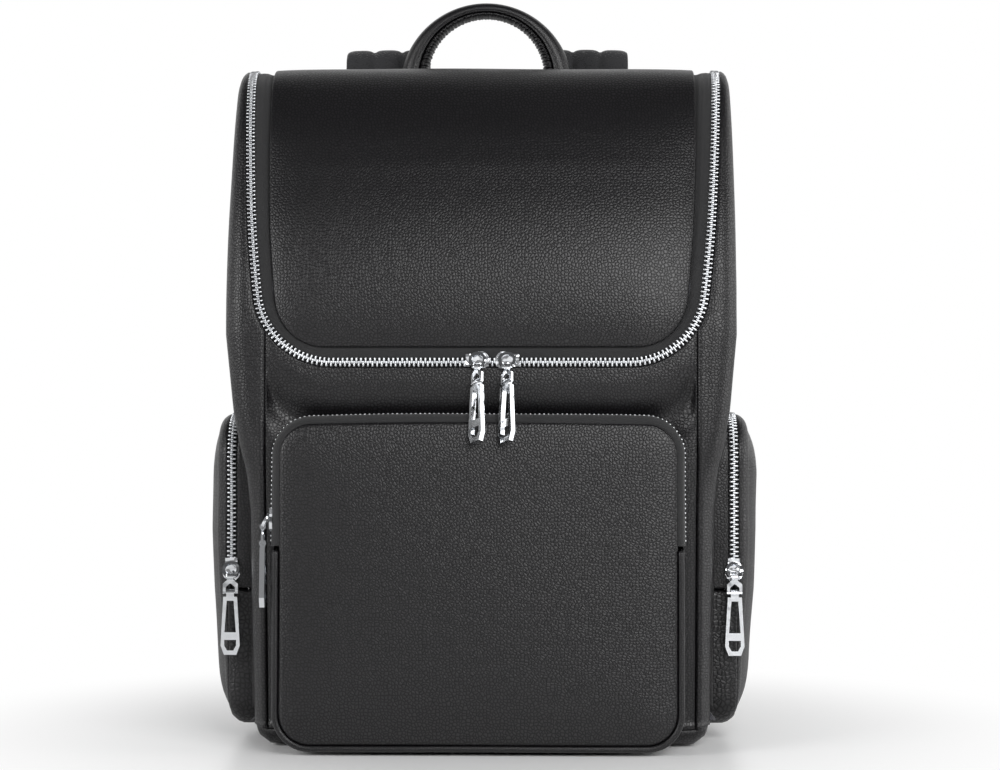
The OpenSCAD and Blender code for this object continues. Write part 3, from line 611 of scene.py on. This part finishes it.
# matte black polyester with fine slanting ribs that change direction every few millimetres
zip_tape, tree = finish_of("herringbone zip tape")
flat = add(tree, "UVMap", uv_map="laid_flat")
lay = add(tree, "VectorMath", {0: flat, 1: (1000.0,) * 3}, operation="MULTIPLY")
axes = add(tree, "SeparateXYZ", {0: lay})
zigzag = worked(tree, "PINGPONG", axes.outputs[1], 1.6)
slant = worked(tree, "ADD", axes, zigzag)
ribs = worked(tree, "MULTIPLY", slant, 2 * math.pi / 0.9)
wave = worked(tree, "SINE", ribs)
rise = ranged(tree, wave, (-1.0, 1))
weave = add(tree, "Bump", {"Height": rise, "Strength": 0.7, "Distance": 0.00022})
surface(tree, Base_Color=between(tree, rise, "#0b0b0c", "#1b1b1d"), Roughness=0.75, Normal=weave,
        Sheen_Weight=0.15)

tape_rows = np.linspace(-zip_run, zip_run, 420)
taped("flap_tape", tape_rows,
      [[0.5, 3.0], [1.4, 2.2], [2.4, 1.9], [4, 1.9], [6, 1.7], [8.7, 1.9], [12, 3], [17, 3.2]],
      on_main_zip, "flap", zip_tape, stands_for=["main_tape_flap"])
taped("body_tape", tape_rows, [[-0.5, 3.0], [-1.4, 2.2], [-2.4, 2.0], [-3.4, 2.4], [-6, 3.6], [-9, 4.0]],
      on_main_zip, "bag", zip_tape, stands_for=["main_tape_body"])

# nickel-plated brass, tumbled until each tooth is bright and round-cornered
zip_metal, tree = finish_of("polished nickel zip teeth")
place = add(tree, "TexCoord").outputs["Object"]
rub = noise(tree, place, 500.0, 2.0)
gloss = ranged(tree, rub, wanted=(0.28, 0.45))
surface(tree, Base_Color=between(tree, rub, "#b9bbbf", "#eceef0"), Metallic=1.0, Roughness=gloss)


def fuller(wave, power):
    """A sine or cosine made squarer, for sections between a circle and a rectangle."""
    return np.sign(wave) * np.abs(wave) ** power


def teeth(name, stations, side, depth, place, body, node):
    """A row of teeth. Each reaches past the middle of the zip, between two of the other row."""
    turn = np.radians([-68, -22, 22, 68, 112, 158, 202, 248])
    form = np.array([[-0.85, 0.5, 0.7], [-0.75, 0.72, 0.95], [-0.2, 0.84, 1.05], [0.35, 0.62, 1.05],
                     [1.3, 0.66, 1.15], [2.5, 0.7, 1.15], [2.75, 0.6, 1.0], [2.9, 0.35, 0.7]])
    t = form[:, 1:2] * fuller(np.cos(turn), 0.7)
    out = form[:, 2:3] * fuller(np.sin(turn), 0.7)
    off = form[:, :1] + 0 * turn
    s = stations[:, None, None]
    rows = place(s + t, side * (off + 0 * s), depth - out + 0 * s)
    return sewn(name, list(rows), body, zip_metal, closed=True, slot="zip_metal",
                stands_for=[node])


slider_x = (-2, 16.6)    # where the two sliders rest along the zip
slider_room = 6.5        # what a row leaves free on each side of a slider at rest


def two_rows(middle, count, sliders):
    """Places of the teeth in the row that leaves room for the sliders, and in the one facing it."""
    first = middle + np.arange(-count, count + 1) * pitch
    clear = np.min(np.abs(first[:, None] - sliders), axis=1) > slider_room
    return first[clear], middle + (np.arange(-count, count) + 0.5) * pitch


flap_row, body_row = two_rows(0, int(zip_run / pitch), slider_x)
teeth("flap_teeth", flap_row, 1, 1.3, on_main_zip, "flap", "main_teeth_flap")
teeth("body_teeth", body_row, -1, 1.3, on_main_zip, "bag", "main_teeth_body")


# ---- Sliders, links and pullers ----
# Five die-cast zinc sets, chrome plated: a slider with a ring bail, a stirrup-shaped link, and a
# flat chamfered puller with one long and one short window. The pullers carry no mark.

def plated(name, wave):
    """Bright chrome over a casting whose skin wanders a little."""
    made, tree = finish_of(name)
    place = add(tree, "TexCoord").outputs["Object"]
    rub = noise(tree, place, 300.0, 4.0)
    gloss = ranged(tree, rub, (0.3, 0.7), (0.06, 0.14))
    slow = noise(tree, place, 260.0, 0.0)
    dent = add(tree, "Bump", {"Height": slow, "Strength": wave, "Distance": 0.002})
    surface(tree, Base_Color=linear("#e2e4e7"), Metallic=1.0, Roughness=gloss, Normal=dent)
    return made


# mirror-bright plating on the flat pullers, with only faint rubbing marks
chrome = plated("chrome-plated zinc puller", 0.04)
# the same plating on the sliders' rounded backs, where reflections bend and break up
rounded_chrome = plated("chrome-plated zinc slider", 0.5)

for place in ("main_left_{}", "main_right_{}", "pocket_{}", "side_{}_left", "side_{}_right"):
    for part in ("slider", "link", "puller"):
        plating = rounded_chrome if part == "slider" else chrome
        cast = refinished(place.format(part), plating)
        soften = cast.modifiers.new("cast_edges", "BEVEL")
        soften.width = 0.00055 if part == "puller" else 0.00025
        soften.segments = 2
        soften.limit_method = "ANGLE"
        soften.angle_limit = math.radians(40)


# ---- Front pocket ----
# A flat leather face on a boxed leather gusset, with a zip round the top between them. Its foot
# is edged with piping, and the whole pocket leans back a little with the bag.

pocket_half, pocket_high, pocket_round = 130, 210, 24
pocket_zip_end = 128     # height of the two ends of the zip
pocket_slider = 144      # height of its slider, up the left side
pocket_wall = 2.4
lean = math.radians(3)
corner = (pocket_round * np.pi / 2, 90)
half_lap = [(pocket_high - 2 * pocket_round, 0), corner, (2 * (pocket_half - pocket_round), 0), corner]
pocket_line = traced((-pocket_half, pocket_round), 90, half_lap * 2)
pocket_lap = pocket_line[0][-1]


def leaned(x, back, z):
    """A point of the pocket, drawn upright with its face on back = 0, in its leaning place."""
    z = z - 1.6 * (x / 120) ** 2 * np.clip(z / pocket_high, 0, 1)
    x = np.where(x > 0, 0.98 * x, x)
    return spread(x, back * math.cos(lean) + z * math.sin(lean) - 114,
                  z * math.cos(lean) - back * math.sin(lean) + 2)


def on_pocket(s, back, set_in):
    """A point at distance s round the pocket's outline, behind its face and set in from the outline."""
    x, z, h = (np.interp(s % pocket_lap, pocket_line[0], row) for row in pocket_line[1:])
    h = np.radians(h)
    sag = 0.5 * np.sin(s / 23.0) * np.clip(back / 12, 0, 1)
    return leaned(x + (set_in + sag) * np.sin(h), back, z - (set_in + sag) * np.cos(h))


def on_pocket_tape(s, set_in, back):
    """A point of the tape: its profile runs inward from the outline and back from the face."""
    return on_pocket(s, back, set_in)


def on_pocket_zip(s, off, depth):
    """A point of the pocket's zip, off towards its face from the middle of the teeth."""
    return on_pocket(s, 7.5 - off, depth)


def on_face(x, v, depth):
    """A point of the pocket's face, which waves a little."""
    wave = 0.35 * np.sin(x / 41 + v / 57) + 0.25 * np.sin(v / 31 - x / 67)
    return leaned(x, depth - wave, v)


pocket_up = pocket_zip_end - pocket_round
pocket_over = pocket_lap - (2 * (pocket_half - pocket_round) + pocket_round * np.pi) - pocket_up
face_shape = (pocket_half - 4.4, 4.4, pocket_high - 4.6, 20, 19.5)
face = sewn("pocket_face", [cut_panel(face_shape, on_face, 2.0, 3.6, 10)], None, pebbled_leather, 3,
            lining_fabric, centre=(0, 0, 100), stands_for=["pocket_face_lid", "pocket_face_lower"])
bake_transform(face)
zip_span = np.linspace(pocket_up + 1, pocket_over - 1, 330)
taped("pocket_tape_front", zip_span,
      [[6.5, 1.4], [5.2, 0.9], [3.6, 0.7], [2.2, 1.1], [1.0, 2.0], [0.2, 3.2], [-0.5, 4.4], [-0.6, 5.2],
       [-0.2, 6.2]],
      on_pocket_tape, "pocket_lid", zip_tape, stands_for=["pocket_tape_lid"])
taped("pocket_tape_back", zip_span, [[0.3, 8.2], [0.3, 11], [0.6, 14.2], [1.2, 16]],
      on_pocket_tape, "bag", zip_tape, stands_for=["pocket_tape_gusset"])
front_row, back_row = two_rows((pocket_up + pocket_over) / 2, int((pocket_over - pocket_up) / 2 / pitch) - 1,
                               (pocket_slider - pocket_round,))
teeth("pocket_teeth_front", front_row, 1, 0.0, on_pocket_zip, "pocket_lid", "pocket_teeth_lid")
teeth("pocket_teeth_back", back_row, -1, 0.5, on_pocket_zip, "bag", "pocket_teeth_gusset")
s = np.linspace(0, pocket_lap, 420)[:-1]
low = (s < pocket_up) | (s > pocket_over)
front_edge = np.where(low, 2.6, 13.6)
back = front_edge[:, None] + np.array([0, 0.3, 0.8, 1.6, 3, 6, 11, 18, 26, 34])
depth = turned(back - front_edge[:, None], 1.3)
gusset = on_pocket(s[:, None], back, depth)
sewn("pocket_band", [gusset], "bag", pebbled_leather, pocket_wall, lining_fabric, centre=(0, -90, 100),
     looped=True, stands_for=["pocket_gusset"])


def beaded(name, path, radius, body, stuff, **joined):
    """A round bead along a path of points in millimetres, with closed ends."""
    path = np.array(path, float)
    ahead = np.gradient(path, axis=0)
    ahead /= np.linalg.norm(ahead, axis=1)[:, None]
    side = np.cross(ahead, [0, -1, 0.2])
    side /= np.linalg.norm(side, axis=1)[:, None]
    up = np.cross(side, ahead)
    turn = np.linspace(0, 2 * np.pi, 13)[:-1]
    ring = side[:, None] * np.cos(turn)[:, None] + up[:, None] * np.sin(turn)[:, None]
    return sewn(name, [path[:, None] + radius * ring], body, stuff, closed=True, **joined)


s = np.linspace(pocket_over + 2, pocket_lap + pocket_up - 2, 220)
beaded("pocket_edge_piping", on_pocket(s, 2.1, 2.3), 2.15, "bag", edge_leather, stands_for=["pocket_piping"])


# ---- Side pockets ----
# A boxed pocket sewn on each side. A leather face and a coarser lower gusset are joined to the
# bag by an upper gusset, with a zip round the top in between, and piping down the front corner.

side_foot, side_rise, side_bend, side_top = 30, 149, 50.27, 48
side_pocket_line = traced((-52, side_foot), 90, [
    (side_rise, 0), (side_bend, 90), (side_top, 0), (side_bend, 90), (side_rise, 0),
    (31.4, 90), (72, 0), (31.4, 90)])


def pocket_waves(p, beyond):
    """The side pockets' leather waves as the bag's does, but shorter and shallower."""
    x, y, z = p[..., 0], p[..., 1], p[..., 2]
    loose = np.sin(z / 31 - y / 23 + np.sign(x))
    return 0.35 * np.sin(z / 15 + x / 9) + 0.5 * loose * np.clip(beyond / 12, 0, 1)


def side_half(z):
    """How far out the side pockets stand at height z."""
    return np.interp(z, [12, 32, 50, 97, 136], [163.5, 166.3, 167.7, 171, 172.4])


side_skin = rounded_skin(side_pocket_line, side_half, lambda v: 9.5 + 0 * np.asarray(v, float),
                         (4, (60, 160)), 8.0, pocket_waves)
side_zip_x = 162
side_zip_end = 98        # height of the two ends of the zip
side_zip_gap = 3.2       # from the middle of the teeth to the leather
side_slider = 111        # height of its slider, up the front
lap = side_pocket_line[0][-1]
rise_v = side_zip_end - side_foot
fall_v = side_rise + side_bend + side_top + side_bend + (side_foot + side_rise) - side_zip_end
span = np.linspace(rise_v + 1, fall_v - 1, 190)
whole = np.linspace(0, lap, 260)[:-1]
lower = np.linspace(fall_v, lap + rise_v, 120)
outer_row, inner_row = two_rows((rise_v + fall_v) / 2, int((fall_v - rise_v) / 2 / pitch) - 1,
                                (side_slider - side_foot,))
near_zip = np.array([1.6, 1.0, 0.5, 0.2, 0])
half_tape = np.array([[0.5, 2.2], [1.4, 1.3], [2.4, 1.2], [3.4, 1.5], [6, 3]])
for side, sign in sides:
    def on_side(v, x, depth, sign=sign):
        """A point of this side's pocket."""
        return side_skin(v, sign * x, depth)

    beside = (sign * 160, 4, 110)
    start = side_zip_x + side_zip_gap
    reach, full = (w[:, None] for w in side_skin.widths(whole)[1:])
    share = np.array([0, 0.004, 0.01, 0.02, 0.035, 0.06, 0.1, 0.16, 0.24, 0.34, 0.45, 0.57, 0.7, 0.85, 1])
    inner = np.array([0.05, 0.12, 0.2, 0.3, 0.42, 0.55, 0.7, 0.85, 0.95, 0.998, 1])
    out = np.concatenate([start + (reach - start) * share, reach + (full - reach) * inner], 1)
    shell = on_side(whole[:, None], out, turned(out - start))
    outer = sewn(f"side_face_{side}", [shell], None, pebbled_leather, pocket_wall, lining_fabric,
                 centre=(sign * 150, 4, 110), looped=True, stands_for=[f"side_lid_{side}"])
    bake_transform(outer)
    end = side_zip_x - side_zip_gap
    out = np.concatenate([np.linspace(138, end - 2.4, 6), end - near_zip])
    upper = on_side(span[:, None], out, turned(end - out))
    sewn(f"side_gusset_{side}", [upper], "bag", pebbled_leather, pocket_wall, lining_fabric, centre=beside,
         stands_for=[f"side_shell_{side}"])
    out = np.concatenate([np.linspace(138, start - 2.6, 8), start - 0.3 - near_zip])
    ends = np.minimum(lower - lower[0], lower[-1] - lower)[:, None]
    skirt = on_side(lower[:, None], out, np.maximum(turned(start - 0.3 - out), turned(ends)) - 0.5)
    sewn(f"side_lower_gusset_{side}", [skirt], "bag", coarse_leather, pocket_wall, lining_fabric,
         centre=beside)

    def on_side_zip(s, off, depth, sign=sign):
        """A point of this side's zip, off outward from the middle of the teeth."""
        return side_skin(s, sign * (side_zip_x + off), depth)

    taped(f"side_tape_outer_{side}", span, half_tape, on_side_zip, f"side_lid_{side}", zip_tape,
          centre=beside)
    taped(f"side_tape_inner_{side}", span, half_tape * [-1, 1], on_side_zip, "bag", zip_tape,
          centre=beside)
    teeth(f"side_teeth_outer_{side}", outer_row, 1, 0.4, on_side_zip, f"side_lid_{side}",
          f"side_teeth_lid_{side}")
    teeth(f"side_teeth_inner_{side}", inner_row, -1, 0.4, on_side_zip, "bag", f"side_teeth_body_{side}")
    z = np.linspace(22, 200, 60)
    bead = spread(sign * (bag_half(z) + 2.4), -53.4, z)
    beaded(f"side_bead_{side}", bead, 1.7, "bag", edge_leather, stands_for=[f"side_piping_{side}"])


# ---- Carry handle ----
# A leather grip over a round foam core: a padded outer band with two raised edge lines, and an
# inner strip of thin leather that ruches where the handle is bent. It turns on two sewn tabs.

handle_y = 60


def on_handle(k, a, b):
    """k runs from foot to foot, a from the inner curve to the outer one, b across the bag."""
    outer = np.radians(82.4) * k
    inner = np.radians(91) * k
    x = (1 - a) * 40 * np.sin(inner) + a * 60 * np.sin(outer)
    z = (1 - a) * (443.1 + 40 * np.cos(inner)) + a * (433.5 + 60 * np.cos(outer))
    return spread(x, handle_y + b, z)


k = np.linspace(-1, 1, 361)[:, None]
turn = np.linspace(0, 2 * np.pi, 25)[:-1]
puckers = np.sin(170 * k + 2.5 * np.sin(9 * k) + 0.8 * np.cos(turn))
puckers = puckers + 0.6 * np.sin(97 * k + 1.7 * np.sin(turn))
inward = np.clip(-np.cos(turn - np.pi / 2), 0, 1) ** 0.5
a = 0.22 + 0.22 * np.sin(turn) * (1 + 0 * k) + 0.022 * puckers * inward
b = 9.6 * fuller(np.cos(turn), 0.75) + 0.35 * puckers
grip = sewn("handle_ruched_leather", [on_handle(k, a, b)], "carry_handle", edge_leather, closed=True,
            stands_for=["carry_handle"])
section = np.array([[0.38, 9.6], [0.35, 10.3], [0.38, 11], [0.43, 10.7], [0.45, 10.2], [0.48, 10.8],
                    [0.54, 11], [0.7, 10.5], [0.84, 9], [0.94, 6.2], [0.985, 3.2], [1, 0]])
section = np.concatenate([section, section[-2::-1] * [1, -1], [[0.31, -6], [0.29, 0], [0.31, 6]]])
band = on_handle(k, section[:, 0] + 0 * k, section[:, 1] + 0 * k)
top_band = sewn("handle_outer_band", [band], "carry_handle", edge_leather, closed=True)


def rounded_square(power):
    """A closed ring of places round a square from -1 to 1; a lower power makes it squarer."""
    turn = np.linspace(0, 2 * np.pi, 33)[:-1]
    return np.stack([fuller(np.cos(turn), power), fuller(np.sin(turn), power)], -1)


for side, sign in sides:
    rows = [[5, 5, 422], [12.4, 8.4, 428], [12.8, 8.8, 433], [12.8, 8.8, 439.4], [12.2, 8.2, 441],
            [10, 6, 441.3]]
    tab = np.array([[[sign * 49.5 + hx * p[0], handle_y + hy * p[1], z] for p in rounded_square(0.35)]
                    for hx, hy, z in rows])
    sewn(f"handle_tab_{side}", [tab], "bag", edge_leather, closed=True,
         stands_for=["handle_tabs"] if sign < 0 else ())


# ---- Shoulder straps ----
# Foam straps in black spacer mesh, sewn down into three padded channels, looped over at the top
# and sewn to the back under the yoke.

# matte and soft, with small open cells in the knit that hold shadow
mesh_fabric, tree = finish_of("knitted spacer mesh")
place = add(tree, "TexCoord").outputs["Object"]
cells = add(tree, "TexVoronoi", {"Vector": place, "Scale": 1000 / 1.5}, feature="F1")
hole = ranged(tree, cells, (0, 0.5), (0.0, 1), smooth=True)
knit = add(tree, "Bump", {"Height": hole, "Strength": 0.8, "Distance": 0.0005})
fluff = noise(tree, place, 60.0, 4.0)
blend = worked(tree, "MULTIPLY_ADD", fluff, 0.4, hole)
surface(tree, Base_Color=between(tree, blend, "#0c0c0d", "#29292b"), Roughness=0.9, Normal=knit,
        Sheen_Weight=0.3, Sheen_Roughness=0.4)

strap_path = traced((81.3, 404), 90, [(47, 0), (28.27, 180), (23, 0), (96, -3), (190, 5)])
strap_run = strap_path[0][-1]


def in_channel(q):
    """Place across one channel, from -1 to 1, where three lie side by side between q -1 and 1."""
    return (q * 1.5 + 0.5) % 1 * 2 - 1


def channel(q):
    """Thickness across a strap of three sewn channels, as a share of its full thickness."""
    lobe = in_channel(q)
    outer = np.clip((1 - np.abs(q)) / 0.06, 0, 1) ** 0.5
    return np.minimum(0.42 + 0.58 * np.sqrt(np.maximum(1 - np.abs(lobe) ** 3.2, 0)), 0.25 + 0.75 * outer)


for side, sign in sides:
    s = np.linspace(0, strap_run, 190)[:, None]
    y, z, h = (np.interp(s, strap_path[0], row) for row in strap_path[1:])
    h = np.radians(h)
    down = np.clip((s - 78) / (strap_run - 78), 0, 1)
    mid = 69.5 + 22.5 * (1 - np.cos(down * np.pi / 2))
    half = 29 - 7 * down
    q = np.sin(np.linspace(-np.pi / 2, np.pi / 2, 61))
    q = np.concatenate([q, q[-2:0:-1]])
    face = np.concatenate([np.ones(61), -np.ones(59)])
    thick = np.interp(s, [0, 30, 60, 90, 250, strap_run], [4.6, 5.4, 5.4, 6, 6, 4.4])
    creases = 0.35 * np.sin(s / 4.1 + 2 * q) * np.exp(-((s - 58) / 14) ** 2)
    rise = face * (thick * channel(q) + creases)
    strap = spread(sign * (mid + half * q), y - rise * np.sin(h), z + rise * np.cos(h))
    pad = sewn(f"shoulder_strap_{side}", [strap], None, mesh_fabric, closed=True,
               slot="padded_fabric", stands_for=[f"strap_root_{side}", f"strap_pad_{side}"])
    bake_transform(pad)


# ---- Back pads ----
# Two cushions of spacer mesh over foam on the back panel, each quilted into three upright
# channels and bound round the edge.

cushion_x, cushion_low, cushion_high = 66, 146, 385
for side, sign in sides:
    z = dense(cushion_high - cushion_low, (0, 0.6, 1.4, 2.6, 4.2, 6.4, 9), 6)
    z = (cushion_low + z)[:, None]
    q = np.sin(np.linspace(-np.pi / 2, np.pi / 2, 61))
    ends = np.clip(np.minimum(z - cushion_low, cushion_high - z) / 12, 0, 1)
    round_end = np.sqrt(1 - (1 - ends) ** 2)
    puff = (1.6 + 5.6 * np.sqrt(np.maximum(1 - np.abs(in_channel(q)) ** 2.6, 0))) * round_end ** 0.8
    puff = puff * np.clip((1 - np.abs(q)) / 0.03, 0, 1) ** 0.5
    half = 48 - 5 * (1 - round_end)
    front = spread(sign * cushion_x + half * q, 74.8 + puff, z)
    rear = spread(sign * cushion_x + half * q, 73.6, z)
    cushion = sewn(f"back_cushion_{side}", [np.concatenate([front, rear[:, ::-1]], 1)], "bag", mesh_fabric,
                   closed=True, slot="padded_fabric",
                   stands_for=["back_pads"] if sign < 0 else ())


# ---- Adjusters and webbing ----
# Moulded nylon ladder-locks at the foot of each strap, and 32 mm polypropylene webbing sewn low
# on the back under a folded tab. A known fault: above z 60 this webbing lies inside the back panel,
# as its turns lean it inward, where the solid that it stands for rises outward to the ladder-lock.

# moulded matte plastic, faintly grained, with a soft highlight
nylon, tree = finish_of("moulded black nylon")
place = add(tree, "TexCoord").outputs["Object"]
grain = noise(tree, place, 1800.0, 2.0)
fine = add(tree, "Bump", {"Height": grain, "Strength": 0.25, "Distance": 0.0001})
surface(tree, Base_Color=between(tree, grain, "#131314", "#1e1e20"), Roughness=0.45, Normal=fine)

# ribbed flat weave with slanting floats, matte
webbing = woven("polypropylene webbing", 1.6, "#0d0d0e", "#222224", 0.7, 0.2)
web_x = 92
web_path = traced((77, 24), 90, [(14, 0), (20, -12), (52, 4), (12, 8), (24, 2)])
for side, sign in sides:
    lock = refinished(f"strap_adjuster_{side}", nylon)
    soften = lock.modifiers.new("moulded_edges", "BEVEL")
    soften.width = 0.0007
    soften.segments = 3
    s = np.linspace(0, web_path[0][-1], 60)[:, None]
    y, z, h = (np.interp(s, web_path[0], row) for row in web_path[1:])
    q = np.concatenate([np.linspace(-1, 1, 13), np.linspace(1, -1, 13)])
    face = np.concatenate([np.ones(13), -np.ones(13)]) * np.sqrt(1 - 0.9 * np.abs(q) ** 8)
    rise = 0.8 * face
    band = spread(sign * web_x + 16 * q, y - rise * np.sin(np.radians(h)), z + rise * np.cos(np.radians(h)))
    sewn(f"webbing_{side}", [band], "bag", webbing, closed=True, slot="webbing",
         stands_for=[f"strap_webbing_{side}"])
    patch = np.array([[[sign * web_x + f * 20 * p[0], 74.5 + d, 31 + f * 11 * p[1]]
                       for p in rounded_square(0.3)]
                      for f, d in ((0.9, 0), (1, 0.4), (1, 2.2), (0.97, 2.8), (0.9, 3.1), (0.5, 3.2))])
    sewn(f"webbing_tab_{side}", [patch], "bag", edge_leather, closed=True)


# ---- Studio ----
# A white table in a white room, with two softboxes in front, a panel at each side and one behind.

floor_half = 6.0         # metres, as is everything in the studio
floor_z = -0.0003
mesh = bpy.data.meshes.new("table_top")
mesh.from_pydata([(floor_half * x, floor_half * y, floor_z) for x, y in ((-1, -1), (1, -1), (1, 1), (-1, 1))],
                 [], [(0, 1, 2, 3)])
table = bpy.data.objects.new("table_top", mesh)
bpy.context.scene.collection.objects.link(table)
# white satin board near the bag, which fades into the white room a little way out
white, tree = finish_of("white satin board")
board = add(tree, "BsdfPrincipled", {"Base Color": linear("#ffffff"), "Roughness": 0.3})
glow = add(tree, "Emission", {"Color": (1, 1, 1, 1), "Strength": 1.0})
place = add(tree, "TexCoord").outputs["Object"]
far = add(tree, "VectorMath", {0: place}, operation="LENGTH")
fade = ranged(tree, far.outputs["Value"], (0.12, 0.42), smooth=True)
ray = add(tree, "LightPath")
seen = worked(tree, "MULTIPLY", ray.outputs["Is Camera Ray"], fade)
mix = add(tree, "MixShader", {0: seen, 1: board, 2: glow})
add(tree, "OutputMaterial", {"Surface": mix})
mesh.materials.append(white)

# the camera sees white all round; mirrors see white behind the bag, dimmer in front and overhead;
# on everything else the room sheds only a little grey light
world = bpy.data.worlds.new("white room")
bpy.context.scene.world = world
world.use_nodes = True
tree = world.node_tree
tree.nodes.clear()
way = add(tree, "SeparateXYZ", {0: add(tree, "TexCoord").outputs["Generated"]})
around = ranged(tree, way.outputs[1], (0.0, 0.3), (0.24, 1), smooth=True)
ray = add(tree, "LightPath")
overhead = ranged(tree, way.outputs[2], (0.75, 0.4), (0.15, 1), smooth=True)
walls = worked(tree, "MULTIPLY", around, overhead)
mirrored = worked(tree, "MULTIPLY", ray.outputs["Is Glossy Ray"], walls)
direct = worked(tree, "MAXIMUM", ray.outputs["Is Camera Ray"], ray.outputs["Is Transmission Ray"])
seen = worked(tree, "MAXIMUM", direct, mirrored)
room = add(tree, "Background", {"Color": (0.6, 0.61, 0.63, 1), "Strength": 0.1})
backdrop = add(tree, "Background", {"Color": (1, 1, 1, 1), "Strength": 1.0})
mix = add(tree, "MixShader", {0: seen, 1: room, 2: backdrop})
add(tree, "OutputWorld", {"Surface": mix})


def lamp(name, place, aim, size, power):
    """A large soft lamp at a place, turned to face a point."""
    light = bpy.data.lights.new(name, "AREA")
    light.shape = "RECTANGLE"
    light.size, light.size_y = size
    light.energy = power
    held = bpy.data.objects.new(name, light)
    held.location = place
    held.rotation_euler = (Vector(aim) - Vector(place)).to_track_quat("-Z", "Y").to_euler()
    bpy.context.scene.collection.objects.link(held)


lamp("softbox_left", (-1.15, -0.9, 0.72), (0, 0, 0.28), (0.7, 0.8), 11)
lamp("softbox_right", (0.58, -1.3, 0.87), (0, 0, 0.28), (1.0, 1.0), 18)
lamp("side_panel_right", (1.5, -0.1, 0.5), (0, 0, 0.25), (1.0, 1.2), 9)
lamp("side_panel_left", (-1.5, 0.0, 0.3), (0, 0, 0.25), (0.4, 0.9), 2)
lamp("softbox_back", (0, 1.2, 1.6), (0, 0, 0.3), (1.8, 1.0), 3)

camera = bpy.data.cameras.new("camera")
camera.lens = 87.1
camera.sensor_width = 36
seat = bpy.data.objects.new("camera", camera)
seat.location = (0.04, -1.612, 0.23)
seat.rotation_euler = (math.radians(90), 0, math.radians(1.05))
bpy.context.scene.collection.objects.link(seat)
bpy.context.scene.camera = seat
bpy.context.scene.view_settings.view_transform = "Standard"
